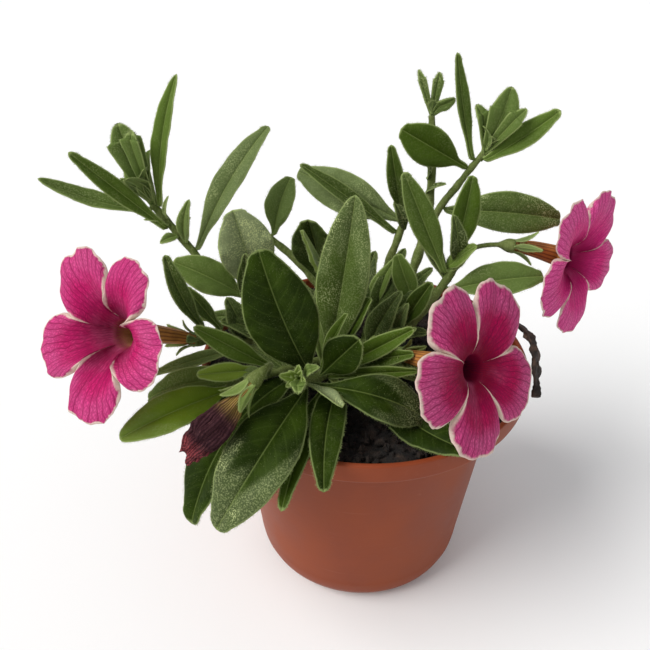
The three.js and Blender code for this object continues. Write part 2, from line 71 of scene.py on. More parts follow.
def through(points, t):
    """A smooth curve through points: on each span the cubic that meets both ends, with the slope of half
    the chord between each end's neighbours. t goes from 0 at the first point to 1 at the last."""
    spans = len(points) - 1
    ends = np.concatenate([2 * points[:1] - points[1:2], points, 2 * points[-1:] - points[-2:-1]])
    place = np.clip(t, 0, 1) * spans
    span = np.minimum(place.astype(int), spans - 1)
    f = (place - span).reshape((-1,) + (1,) * (points.ndim - 1))
    a, b, c, d = (ends[span + k] for k in range(4))
    return 0.5 * (2 * b + (c - a) * f + (2 * a - 5 * b + 4 * c - d) * f**2 + (3 * b - a - 3 * c + d) * f**3)


def ripples(points, rng, waves, coarse, fine):
    """A rough surface's height at each point: the sum of sines along random directions, with wavelengths
    from coarse to fine and each as high as it is long, scaled to about 1."""
    lengths = np.geomspace(coarse, fine, waves)
    directions = unit(rng.normal(size=(waves, 3)))
    phase = rng.uniform(0, 2 * np.pi, waves)
    heights = np.sin(points @ directions.T * (2 * np.pi / lengths) + phase) * lengths
    return heights.sum(axis=-1) / np.sqrt((lengths**2).sum())


# ---- reading the CAD solids ---------------------------------------------
def cage(node):
    """A node's corner points with the shared ones merged, which of them an edge joins, and its faces."""
    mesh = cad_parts[node].data
    spots = np.empty(len(mesh.vertices) * 3, np.float32)
    mesh.vertices.foreach_get("co", spots)
    corners = np.empty(len(mesh.loops), np.int32)
    mesh.loops.foreach_get("vertex_index", corners)
    spots = spots.reshape(-1, 3).astype(float)
    _, first, same = np.unique(
        np.round(spots / 2e-6).astype(int), axis=0, return_index=True, return_inverse=True
    )
    triangles = same.ravel()[corners].reshape(-1, 3)
    touching = np.zeros((len(first), len(first)), bool)
    for a, b in ((0, 1), (1, 2), (2, 0)):
        touching[triangles[:, a], triangles[:, b]] = True
        touching[triangles[:, b], triangles[:, a]] = True
    return spots[first], touching, triangles


def rings_from(touching, pole):
    """The points one edge away from the pole, two edges away, and so on."""
    seen = np.zeros(len(touching), bool)
    seen[pole] = True
    front, rings = seen, []
    while front.any():
        front = touching[front].any(axis=0) & ~seen
        seen = seen | front
        rings.append(np.flatnonzero(front))
    return rings[:-1]


def poles_of(touching, sides):
    """The points where a net of that many sides closes. No other point of a net has more than six edges,
    so a higher count is enough. A pole of five has five edges, and so has each point beside it."""
    edges = touching.sum(axis=1)
    if sides > 6:
        return np.flatnonzero(edges == sides)
    lowest = np.where(touching, edges, edges.max()).min(axis=1)
    highest = np.where(touching, edges, 0).max(axis=1)
    return np.flatnonzero((edges == sides) & (lowest == sides) & (highest == sides))


ORDERS = np.array(list(itertools.permutations(range(5))))


def lined_up(sections):
    """Sections of five points each, put in the order left margin, top, right margin, right rib, left rib:
    first the widest one, whose margins are the two points farthest apart with the top between the ribs,
    then each neighbour in the order that moves its points least."""
    sections = sections.copy()
    spread = np.linalg.norm(sections - sections.mean(axis=1, keepdims=True), axis=-1).sum(axis=1)
    widest = int(spread.argmax())
    ring = sections[widest]
    gaps = np.linalg.norm(ring[:, None] - ring[None], axis=-1)
    left, right = np.unravel_index(gaps.argmax(), gaps.shape)
    between = [i for i in range(5) if i not in (left, right)]
    between.sort(key=lambda i: (ring[i] - ring[left]) @ (ring[right] - ring[left]))
    left_rib, top, right_rib = between
    sections[widest] = ring[[left, top, right, right_rib, left_rib]]
    steps = [(i, i - 1) for i in range(widest + 1, len(sections))]
    steps += [(i, i + 1) for i in range(widest - 1, -1, -1)]
    for here, known in steps:
        moved = sections[here] - sections[here].mean(axis=0)
        wanted = sections[known] - sections[known].mean(axis=0)
        gaps = np.linalg.norm(wanted[:, None] - moved[None], axis=-1)
        best = ORDERS[gaps[np.arange(5), ORDERS].sum(axis=1).argmin()]
        sections[here] = sections[here][best]
    return sections


def curves_of(sections, tip):
    """A blade's left margin, midrib and right margin from base to tip, and the way its upper side faces."""
    sections = lined_up(sections)
    left, top, right = sections[:, 0], sections[:, 1], sections[:, 2]
    rib = (sections[:, 3] + sections[:, 4]) / 2
    crest = unit((top - rib).mean(axis=0))
    end = tip[None]
    return [np.concatenate([line, end]) for line in (left, (top + rib) / 2, right)] + [crest]


def blade_of(node):
    """The curves of a single leaf's solid, from the flat end that meets its stem to its pointed tip."""
    spots, touching, _ = cage(node)
    poles = poles_of(touching, 5)
    flatness = [np.linalg.norm(spots[touching[p]].mean(axis=0) - spots[p]) for p in poles]
    base = poles[int(np.argmin(flatness))]
    rings = rings_from(touching, base)
    sections = np.stack([spots[ring] for ring in rings if len(ring) == 5])
    return curves_of(sections, spots[rings[-1][0]])


def blades_of(node):
    """The curves of each blade in a tuft, as far down as it stands clear, and the tuft's core."""
    spots, touching, _ = cage(node)
    edges = touching.sum(axis=1)
    blades, used = [], np.zeros(len(spots), bool)
    for tip in poles_of(touching, 5):
        rings = rings_from(touching, tip)
        clear = list(itertools.takewhile(lambda r: len(r) == 5 and edges[r].max() <= 6, rings))
        if len(clear) > 2:
            sections = np.stack([spots[ring] for ring in clear[::-1]])
            blades.append(curves_of(sections, spots[tip]))
            used[np.concatenate(clear)] = True
            used[tip] = True
    return blades, spots[~used].mean(axis=0)


def tube_of(node, sides, near):
    """A tube's sections in order from the end nearest to a place: their points, and both end points."""
    spots, touching, _ = cage(node)
    poles = poles_of(touching, sides)
    start = poles[int(np.argmin(np.linalg.norm(spots[poles] - near, axis=1)))]
    rings = [ring for ring in rings_from(touching, start) if len(ring) == sides]
    end = poles[poles != start][0]
    return np.stack([spots[ring] for ring in rings]), spots[start], spots[end]


# ---- making meshes ------------------------------------------------------
NO_QUADS, NO_TRIANGLES = np.empty((0, 4), int), np.empty((0, 3), int)


def part(points, quads, triangles, marks, finish=0):
    """A piece's part: its points and faces, the marks that its points carry, and its finish's number."""
    return {"points": points, "quads": quads, "triangles": triangles, "marks": marks, "finish": finish}


def net(rows, start, end, marks, finish=0):
    """A closed skin over rows of points, each row a closed loop: every point is joined to the next one in
    its row and to the same one in the next row, and the first and last rows are closed to a point. Faces
    are turned so that the sum of their signed volumes is positive."""
    count, sides = rows.shape[:2]
    i, j = np.meshgrid(np.arange(count - 1), np.arange(sides), indexing="ij")
    here, beside = i * sides + j, i * sides + (j + 1) % sides
    quads = np.stack([here, beside, beside + sides, here + sides], axis=-1).reshape(-1, 4)
    j = np.arange(sides)
    first, last = count * sides, count * sides + 1
    bottom = np.stack([np.full(sides, first), (j + 1) % sides, j], axis=1)
    top_row = (count - 1) * sides
    top = np.stack([np.full(sides, last), top_row + j, top_row + (j + 1) % sides], axis=1)
    triangles = np.concatenate([bottom, top])
    points = np.concatenate([rows.reshape(-1, 3), start[None], end[None]])
    all_marks = {
        name: np.concatenate([value.reshape(-1), [value[0].mean(), value[-1].mean()]])
        for name, value in marks.items()
    }
    a, b, c, d = (points[quads[:, k]] - points[0] for k in range(4))
    volume = (np.cross(a, b) * c).sum() + (np.cross(a, c) * d).sum()
    if volume < 0:
        quads, triangles = quads[:, ::-1], triangles[:, ::-1]
    return part(points, quads, triangles, all_marks, finish)


def hairs(roots, directions, lengths, radius, finish=1):
    """Thin spikes of four faces: a triangle of that radius square to each direction, and a tip."""
    directions = unit(directions)
    aside = unit(np.cross(directions, directions[:, [1, 2, 0]] + [0.3, 0.1, 0.2]))
    other = np.cross(directions, aside)
    turn = np.arange(3) * 2 * np.pi / 3
    foot = roots[:, None] + radius * (
        aside[:, None] * np.cos(turn)[:, None] + other[:, None] * np.sin(turn)[:, None]
    )
    tip = roots + directions * lengths[:, None]
    points = np.concatenate([foot, tip[:, None]], axis=1).reshape(-1, 3)
    faces = np.array([[0, 2, 1], [0, 1, 3], [1, 2, 3], [2, 0, 3]])
    triangles = (np.arange(len(roots))[:, None, None] * 4 + faces).reshape(-1, 3)
    return part(points, NO_QUADS, triangles, {}, finish)


def piece(name, parts, finishes, slot, *nodes):
    """One object from several parts. Marks that a part lacks are 0 on it."""
    sizes = [len(p["points"]) for p in parts]
    shift = np.concatenate([[0], np.cumsum(sizes)[:-1]])
    quads = np.concatenate([p["quads"] + s for p, s in zip(parts, shift)])
    triangles = np.concatenate([p["triangles"] + s for p, s in zip(parts, shift)])
    corners = np.concatenate([quads.ravel(), triangles.ravel()]).astype(np.int32)
    starts = np.concatenate(
        [np.arange(len(quads)) * 4, 4 * len(quads) + np.arange(len(triangles)) * 3]
    ).astype(np.int32)
    finish = np.concatenate(
        [np.full(len(p["quads"]), p["finish"]) for p in parts]
        + [np.full(len(p["triangles"]), p["finish"]) for p in parts]
    ).astype(np.int32)
    mesh = bpy.data.meshes.new(name)
    mesh.vertices.add(sum(sizes))
    mesh.loops.add(len(corners))
    mesh.polygons.add(len(starts))
    points = np.concatenate([p["points"] for p in parts])
    mesh.vertices.foreach_set("co", points.astype(np.float32).ravel())
    mesh.loops.foreach_set("vertex_index", corners)
    mesh.polygons.foreach_set("loop_start", starts)
    mesh.polygons.foreach_set("material_index", finish)
    mesh.polygons.foreach_set("use_smooth", np.ones(len(starts), bool))
    mesh.update(calc_edges=True)
    for mark in sorted({m for p in parts for m in p["marks"]}):
        values = np.concatenate([p["marks"].get(mark, np.zeros(n)) for p, n in zip(parts, sizes)])
        mesh.attributes.new(mark, "FLOAT", "POINT").data.foreach_set("value", values.astype(np.float32))
    for material in finishes:
        mesh.materials.append(material)
    made = bpy.data.objects.new(name, mesh)
    bpy.context.scene.collection.objects.link(made)
    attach(made, "root")
    if nodes:
        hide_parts(*nodes)
    return made


# ---- finishes -----------------------------------------------------------
def paint(red, green, blue):
    """A colour given as screen values from 0 to 255, as the linear values that a shader takes."""
    screen = np.array([red, green, blue]) / 255
    linear = np.where(screen <= 0.04045, screen / 12.92, ((screen + 0.055) / 1.055) ** 2.4)
    return (*linear.tolist(), 1.0)


class Finish:
    """A node material, built one step at a time. Each step gives back the socket that holds its result."""

    def __init__(self, name, **fixed):
        self.material = bpy.data.materials.new(name)
        self.material.use_nodes = True
        self.tree = self.material.node_tree
        self.shader = self.tree.nodes["Principled BSDF"]
        for socket, number in fixed.items():
            self.shader.inputs[socket.replace("_", " ")].default_value = number
        self.place = self.add("ShaderNodeTexCoord", {}, out="Object")

    def add(self, kind, inputs, out=0, **settings):
        """A node of that kind, with its settings made and its inputs linked or set."""
        node = self.tree.nodes.new(kind)
        for setting, value in settings.items():
            setattr(node, setting, value)
        for socket, value in inputs.items():
            if isinstance(value, bpy.types.NodeSocket):
                self.tree.links.new(value, node.inputs[socket])
            else:
                node.inputs[socket].default_value = value
        return node.outputs[out]

    def mark(self, name):
        """A number that the mesh's points carry."""
        return self.add("ShaderNodeAttribute", {}, out="Fac", attribute_name=name)

    def do(self, operation, a, b=0.0, c=0.0):
        """One step of arithmetic."""
        inputs = {0: a} if operation in ("SINE", "FRACT", "ABSOLUTE") else {0: a, 1: b}
        if operation == "MULTIPLY_ADD":
            inputs[2] = c
        return self.add("ShaderNodeMath", inputs, operation=operation)

    def rise(self, x, low, high, start=0.0, end=1.0):
        """start below low, end above high, eased between them."""
        inputs = {"Value": x, "From Min": low, "From Max": high, "To Min": start, "To Max": end}
        return self.add("ShaderNodeMapRange", inputs, interpolation_type="SMOOTHSTEP")

    def blend(self, share, a, b):
        """The colour that lies that share of the way from a to b."""
        inputs = {"Factor": share, "A": a, "B": b}
        node = self.tree.nodes.new("ShaderNodeMix")
        node.data_type = "RGBA"
        sockets = {s.identifier: s for s in node.inputs}
        for name, value in inputs.items():
            socket = sockets["Factor_Float" if name == "Factor" else f"{name}_Color"]
            if isinstance(value, bpy.types.NodeSocket):
                self.tree.links.new(value, socket)
            else:
                socket.default_value = value
        return next(s for s in node.outputs if s.identifier == "Result_Color")

    def noise(self, scale, detail=2.0, place=None, roughness=0.55):
        """Soft random blotches, scale of them to the metre."""
        inputs = {"Vector": place or self.place, "Scale": scale, "Detail": detail, "Roughness": roughness}
        return self.add("ShaderNodeTexNoise", inputs, out="Fac")

    def point(self, x, y, z=0.0):
        """A place made of three numbers."""
        return self.add("ShaderNodeCombineXYZ", {"X": x, "Y": y, "Z": z})

    def bump(self, height, distance, strength=1.0, under=None):
        """A finely uneven surface, laid over another one where under is given."""
        inputs = {"Height": height, "Distance": distance, "Strength": strength}
        if under is not None:
            inputs["Normal"] = under
        return self.add("ShaderNodeBump", inputs, out="Normal")

    def done(self, color, roughness=None, normal=None):
        """The material, with its colour and what else was worked out linked to the shader."""
        self.tree.links.new(color, self.shader.inputs["Base Color"])
        if roughness is not None:
            self.tree.links.new(roughness, self.shader.inputs["Roughness"])
        if normal is not None:
            self.tree.links.new(normal, self.shader.inputs["Normal"])
        return self.material


# ---- leaf, stem and calyx finishes --------------------------------------
def leaf_finish():
    """Green blade: a thin pale midrib, faint side veins in pairs, a soft down that lightens the margin and
    lies in patches, and a paler underside. tone goes from the darkest leaves to the youngest, down from
    bare to grey and furred."""
    f = Finish("leaf", Specular_IOR_Level=0.05)
    # down is the leaf's grey fur, and towards the tips of a few leaves also a painted sunlit patch
    tone, down, under = f.mark("tone"), f.mark("down"), f.mark("under")
    offset, rim, vein = f.mark("offset"), f.mark("rim"), f.mark("vein")
    color = f.blend(f.rise(tone, 0.0, 0.5), paint(29, 43, 5), paint(72, 96, 16))
    color = f.blend(f.rise(tone, 0.45, 1.0), color, paint(136, 160, 46))
    color = f.blend(f.rise(f.noise(130.0, 3.0), 0.35, 0.7, 0.0, 0.14), color, paint(92, 120, 28))
    grey = f.do("MULTIPLY", down, f.rise(tone, 0.2, 0.4, 0.5, 0.8))
    color = f.blend(grey, color, paint(124, 136, 96))
    color = f.blend(f.do("MULTIPLY", under, 0.5), color, paint(116, 134, 84))
    # veins: thin lines where the vein count is whole, fading towards the margin
    near_vein = f.do("ABSOLUTE", f.do("SUBTRACT", f.do("FRACT", f.do("ADD", vein, 0.5)), 0.5))
    line = f.rise(near_vein, 0.03, 0.12, 1.0, 0.0)
    line = f.do("MULTIPLY", line, f.rise(rim, 0.3, 2.5))
    color = f.blend(f.do("MULTIPLY", line, 0.045), color, paint(118, 142, 66))
    middle = f.rise(f.do("ABSOLUTE", offset), 0.08, 0.28, 1.0, 0.0)
    pale = f.do("MULTIPLY", middle, f.rise(tone, 0.0, 0.5, 0.3, 0.44))
    color = f.blend(pale, color, paint(136, 154, 84))
    # down: fine pale points, thick on the margin and in patches over the blade, crispest on dark leaves;
    # near the tips of a few leaves the down is partly a painted sunlit patch
    specks = f.noise(2600.0, 2.0)
    patches = f.noise(75.0, 3.0)
    thick = f.do("MULTIPLY_ADD", down, f.rise(tone, 0.22, 0.4, 1.5, 0.5), 0.03)
    furred = f.do("MULTIPLY", f.rise(patches, 0.5, 0.64), thick)
    furred = f.do("ADD", furred, f.do("MULTIPLY", thick, 0.4))
    color = f.blend(f.do("MULTIPLY", f.rise(specks, 0.5, 0.6), furred), color, paint(180, 190, 132))
    margin = f.rise(f.do("ADD", rim, f.do("MULTIPLY", specks, 0.5)), 0.4, 0.8, 1.0, 0.0)
    edging = f.do("MULTIPLY", margin, f.rise(tone, 0.0, 0.5, 0.46, 0.74))
    color = f.blend(edging, color, paint(152, 168, 104))
    grain = f.bump(specks, 0.00015, 0.5)
    relief = f.bump(f.do("MULTIPLY_ADD", line, 0.3, middle), -0.0002, 0.35, under=grain)
    return f.done(color, f.rise(patches, 0.3, 0.7, 0.42, 0.58), relief)


def down_finish(name, darker, paler):
    """The pale hairs that stand on green parts, between two colours."""
    f = Finish(name, Roughness=0.6, Specular_IOR_Level=0.1)
    return f.done(f.blend(f.noise(900.0), darker, paler))


def stem_finish():
    """Downy pale green bark with lengthwise streaks and purplish-brown blotches here and there."""
    f = Finish("stem_bark", Roughness=0.6, Specular_IOR_Level=0.08)
    color = f.blend(f.rise(f.noise(60.0, 3.0), 0.35, 0.7), paint(80, 94, 42), paint(108, 120, 66))
    drawn_out = f.add("ShaderNodeMapping", {"Vector": f.place, "Scale": (900, 900, 120)})
    streaks = f.noise(1.0, 2.0, place=drawn_out)
    color = f.blend(f.rise(streaks, 0.45, 0.7, 0.0, 0.5), color, paint(128, 138, 84))
    color = f.blend(f.rise(f.noise(45.0, 1.0), 0.62, 0.8, 0.0, 0.35), color, paint(112, 84, 62))
    fuzz = f.noise(3000.0, 1.0)
    color = f.blend(f.rise(fuzz, 0.55, 0.75, 0.0, 0.4), color, paint(154, 162, 114))
    return f.done(color, normal=f.bump(fuzz, 0.0002, 0.6))


# ---- petal finishes -----------------------------------------------------
def petal_finish(name, heart, deep, pink, margin_reach):
    """Magenta petals: solid colour round the throat, then long dark veins that fan out, with a fine net
    between them over paler pink, and a cream margin that widens in the notches. heart is the throat's own
    colour; deep holds the solid zone's two and the veins'; pink is the colour between the outer veins, and
    margin_reach the cream margin's width in millimetres."""
    f = Finish(name, Specular_IOR_Level=0.06)
    side, radial, rim = f.mark("side"), f.mark("radial"), f.mark("rim")
    back, tube, notch = f.mark("under"), f.mark("tube"), f.mark("notch")
    wobble = f.noise(260.0, 2.0)
    wave = f.do("MULTIPLY_ADD", wobble, 1.6, -0.8)
    net_place = f.point(f.do("ADD", side, wave), f.do("MULTIPLY", f.do("ADD", radial, wave), 0.3))
    cells = f.add("ShaderNodeTexVoronoi", {"Vector": net_place, "Scale": 2.4}, feature="DISTANCE_TO_EDGE")
    netted = f.rise(cells, 0.0, 0.3, 1.0, 0.0)
    # long veins fan out: their count is fixed, so their spacing grows with the distance from the throat
    fan = f.do("DIVIDE", f.do("ADD", side, f.do("MULTIPLY", wave, 1.1)), f.do("ADD", radial, 2.0))
    ray = f.do("ABSOLUTE", f.do("SUBTRACT", f.do("FRACT", f.do("MULTIPLY_ADD", fan, 13.0, 0.5)), 0.5))
    rays = f.rise(ray, 0.02, 0.2, 1.0, 0.0)
    outer = f.rise(f.do("ADD", f.do("SUBTRACT", radial, rim), f.do("MULTIPLY", wave, 3.0)), 4.0, 16.0)
    color = f.blend(f.rise(radial, 4.5, 14.0), deep[0], deep[1])
    color = f.blend(f.do("MULTIPLY", outer, 0.9), color, pink)
    color = f.blend(f.rise(f.noise(120.0, 3.0), 0.4, 0.75, 0.0, 0.22), color, paint(226, 132, 176))
    veins = f.do("MAXIMUM", f.do("MULTIPLY", netted, 0.62), f.do("MULTIPLY", rays, 0.92))
    shown = f.do("MULTIPLY", veins, f.rise(radial, 3.0, 10.0, 0.3, 1.0))
    color = f.blend(f.do("MULTIPLY", shown, 0.8), color, deep[2])
    throat = f.rise(f.do("ADD", radial, f.do("MULTIPLY", ray, 3.0)), 2.9, 5.2, 1.0, 0.0)
    color = f.blend(f.do("MULTIPLY", throat, 0.9), color, heart)
    throat_lines = f.do("MULTIPLY", f.do("MULTIPLY", rays, f.rise(radial, 3.2, 8.0, 1.0, 0.0)), 0.85)
    color = f.blend(throat_lines, color, paint(84, 10, 44))
    # the cream margin
    reach = f.do("MULTIPLY_ADD", notch, 1.1, margin_reach)
    uneven = f.do("ADD", rim, f.do("MULTIPLY_ADD", f.noise(420.0, 3.0), 2.0, -1.0))
    cream = f.rise(f.do("DIVIDE", uneven, reach), 0.25, 1.4, 1.0, 0.0)
    color = f.blend(f.do("MULTIPLY", cream, 0.92), color, paint(216, 198, 182))
    behind = f.blend(0.6, color, paint(214, 140, 168))
    color = f.blend(back, color, behind)
    # the tube outside: straw and tan with dark lengthwise stripes
    angle = f.do("ARCTAN2", f.mark("turn_sine"), f.mark("turn_cosine"))
    stripe = f.do("SINE", f.do("MULTIPLY_ADD", angle, 15.0, f.do("MULTIPLY", wobble, 1.5)))
    tube_color = f.blend(f.rise(f.noise(200.0), 0.3, 0.7), paint(158, 106, 52), paint(190, 126, 66))
    tube_color = f.blend(f.rise(stripe, 0.0, 0.8, 0.0, 0.58), tube_color, paint(70, 38, 34))
    color = f.blend(f.do("MULTIPLY", tube, back), color, tube_color)
    fine = f.bump(f.noise(2400.0, 1.0), 0.00008, 0.4)
    return f.done(color, f.rise(wobble, 0.3, 0.7, 0.5, 0.62), f.bump(shown, -0.0002, 0.45, under=fine))


def wilted_finish():
    """The spent flower: a straw tube with thin dark stripes that runs into a veined purple-brown bag with
    redder tips. along goes from the cup to the tips."""
    f = Finish("petal_wilted", Roughness=0.7, Specular_IOR_Level=0.1)
    along = f.mark("along")
    angle = f.do("ARCTAN2", f.mark("turn_sine"), f.mark("turn_cosine"))
    wobble = f.noise(300.0, 2.0)
    stripe = f.do("SINE", f.do("MULTIPLY_ADD", angle, 33.0, f.do("MULTIPLY", wobble, 7.0)))
    ground = f.blend(f.rise(along, 0.24, 0.5), paint(160, 132, 66), paint(60, 32, 36))
    ground = f.blend(f.rise(along, 0.78, 0.95), ground, paint(142, 62, 66))
    ground = f.blend(f.rise(f.noise(700.0, 3.0), 0.5, 0.75, 0.0, 0.3), ground, paint(138, 92, 92))
    color = f.blend(f.rise(stripe, 0.0, 0.9, 0.0, 0.72), ground, paint(44, 20, 26))
    stretched = f.add("ShaderNodeMapping", {"Vector": f.place, "Scale": (1300, 1300, 800)})
    cells = f.add("ShaderNodeTexVoronoi", {"Vector": stretched, "Scale": 1.0}, feature="DISTANCE_TO_EDGE")
    net_lines = f.do("MULTIPLY", f.rise(cells, 0.03, 0.16, 1.0, 0.0), f.rise(along, 0.3, 0.6))
    color = f.blend(f.do("MULTIPLY", net_lines, 0.6), color, paint(40, 14, 24))
    relief = f.bump(f.do("ADD", stripe, f.do("MULTIPLY", wobble, 2.0)), 0.0003, 0.55)
    return f.done(color, normal=relief)


# ---- pot, soil and dead leaf finishes -----------------------------------
def pot_finish():
    """Terracotta-coloured moulded plastic: satin, very slightly mottled, with dust and faint scuffs."""
    f = Finish("pot_plastic", Specular_IOR_Level=0.2)
    mottle = f.noise(38.0, 4.0)
    color = f.blend(f.rise(mottle, 0.3, 0.7), paint(128, 56, 27), paint(140, 66, 35))
    dust = f.noise(240.0, 5.0, roughness=0.7)
    color = f.blend(f.rise(dust, 0.6, 0.8, 0.0, 0.2), color, paint(168, 112, 86))
    turn = f.add("ShaderNodeMapping", {"Vector": f.place, "Scale": (60, 60, 900)})
    scuffs = f.noise(1.0, 3.0, place=turn)
    color = f.blend(f.rise(scuffs, 0.64, 0.8, 0.0, 0.07), color, paint(196, 150, 128))
    rough = f.rise(mottle, 0.3, 0.7, 0.42, 0.56)
    grain = f.bump(f.noise(2600.0, 2.0), 0.00005, 0.35)
    return f.done(color, rough, f.bump(scuffs, 0.00006, 0.3, under=grain))


def soil_finish():
    """Dark damp peat: near black with brown fibres and a few paler crumbs."""
    f = Finish("peat", Roughness=0.95)
    color = f.blend(f.rise(f.noise(300.0, 5.0), 0.35, 0.7), paint(16, 12, 9), paint(46, 34, 25))
    color = f.blend(f.rise(f.noise(900.0, 3.0), 0.62, 0.78, 0.0, 0.6), color, paint(88, 66, 48))
    return f.done(color, normal=f.bump(f.noise(1400.0, 4.0), 0.0008, 0.9))


def withered_finish():
    """A dead leaf: dark brown, cracked and curled, with paler greyish-brown flecks."""
    f = Finish("leaf_dead", Roughness=0.85)
    color = f.blend(f.rise(f.noise(220.0, 4.0), 0.35, 0.7), paint(30, 21, 17), paint(78, 56, 44))
    color = f.blend(f.rise(f.noise(800.0, 3.0), 0.6, 0.8, 0.0, 0.5), color, paint(110, 88, 72))
    return f.done(color, normal=f.bump(f.noise(700.0, 5.0), 0.0006, 0.9))


LEAF = leaf_finish()
DOWN = down_finish("leaf_down", paint(138, 154, 92), paint(168, 180, 124))
BARK = stem_finish()
BARK_DOWN = down_finish("stem_down", paint(146, 156, 108), paint(172, 180, 134))
CRIMSON = (paint(118, 4, 36), paint(174, 12, 76), paint(100, 6, 52))
MAGENTA = (paint(124, 6, 50), paint(194, 30, 102), paint(112, 6, 58))
ROSE = (paint(140, 8, 66), paint(214, 44, 124), paint(142, 14, 78))
PETAL_FRONT = petal_finish("petal_front", paint(88, 10, 50), CRIMSON, paint(206, 78, 136), 0.85)
PETAL_LEFT = petal_finish("petal_left", paint(196, 164, 92), MAGENTA, paint(206, 68, 132), 0.4)
PETAL_RIGHT = petal_finish("petal_right", paint(110, 12, 60), ROSE, paint(222, 92, 156), 0.45)
WILTED = wilted_finish()
POT = pot_finish()
PEAT = soil_finish()
DEAD = withered_finish()


# ---- stems --------------------------------------------------------------
def remeshed(node, voxel, rounds):
    """A node's solid as an even net of small faces, its corners rounded by averaging each point with its
    neighbours: points, quads and the way that each point faces."""
    spots, _, triangles = cage(node)
    mesh = bpy.data.meshes.new(node + "_copy")
    mesh.from_pydata(spots, [], triangles)
    thing = bpy.data.objects.new(node + "_copy", mesh)
    bpy.context.scene.collection.objects.link(thing)
    net_maker = thing.modifiers.new("even", "REMESH")
    net_maker.mode, net_maker.voxel_size = "VOXEL", voxel
    rounding = thing.modifiers.new("round", "SMOOTH")
    rounding.factor, rounding.iterations = 0.5, rounds
    graph = bpy.context.evaluated_depsgraph_get()
    evened = thing.evaluated_get(graph).to_mesh()
    points = np.empty(len(evened.vertices) * 3)
    facing = np.empty(len(evened.vertices) * 3)
    corners = np.empty(len(evened.loops), np.int32)
    evened.vertices.foreach_get("co", points)
    evened.vertices.foreach_get("normal", facing)
    evened.loops.foreach_get("vertex_index", corners)
    thing.to_mesh_clear()
    bpy.data.objects.remove(thing)
    bpy.data.meshes.remove(mesh)
    return points.reshape(-1, 3), corners.reshape(-1, 4), facing.reshape(-1, 3)


def make_stems():
    """The shoots: the evened solid, swollen a little by slow ripples, with fine down all over."""
    rng = np.random.default_rng(11)
    points, quads, facing = remeshed("stems", 0.42 * MM, 7)
    points = points + facing * (0.16 + 0.14 * ripples(points, rng, 10, 9 * MM, 2 * MM))[:, None] * MM
    chosen = rng.integers(0, len(points), 9000)
    lean = unit(facing[chosen] + rng.normal(size=(len(chosen), 3)) * 0.28)
    fuzz = hairs(points[chosen], lean, rng.uniform(0.35, 0.85, len(chosen)) * MM, 0.026 * MM)
    bark = part(points, quads, NO_TRIANGLES, {})
    piece("stems_bark", [bark, fuzz], [BARK, BARK_DOWN], "stem", "stems")
    return points


STEM_POINTS = make_stems()


def nearest_bark(place):
    """The point of the stems' bark that is nearest to a place."""
    return STEM_POINTS[np.linalg.norm(STEM_POINTS - place, axis=1).argmin()]


# ---- leaves -------------------------------------------------------------
# a blade's build: its camber and its margin's ripples as shares of half its width, the rest in millimetres
CAMBER, RIPPLE = 0.12, 0.055
QUILTING = 0.03
SKIN_GAP, FOOT_GAP = 0.36, 1.3
GROOVE, GROOVE_WIDTH = 0.28, 0.5
RIB, RIB_WIDTH = 0.5, 0.55


def drawn_on(left, middle, right, root):
    """A blade's three curves, begun a little inside the bark at root, where they are 1 mm apart in all."""
    spread = 0.5 * unit(right[:1] - left[:1]) * MM
    inside = root + 0.25 * (root - middle[0])
    left = np.concatenate([inside - spread, left])
    middle = np.concatenate([inside[None], middle])
    right = np.concatenate([inside + spread, right])
    return left, middle, right


def both_faces(mark):
    """A mark on the upper face's points, carried on round the margin to the lower face's."""
    return np.concatenate([mark, mark[:, ::-1]], axis=1)


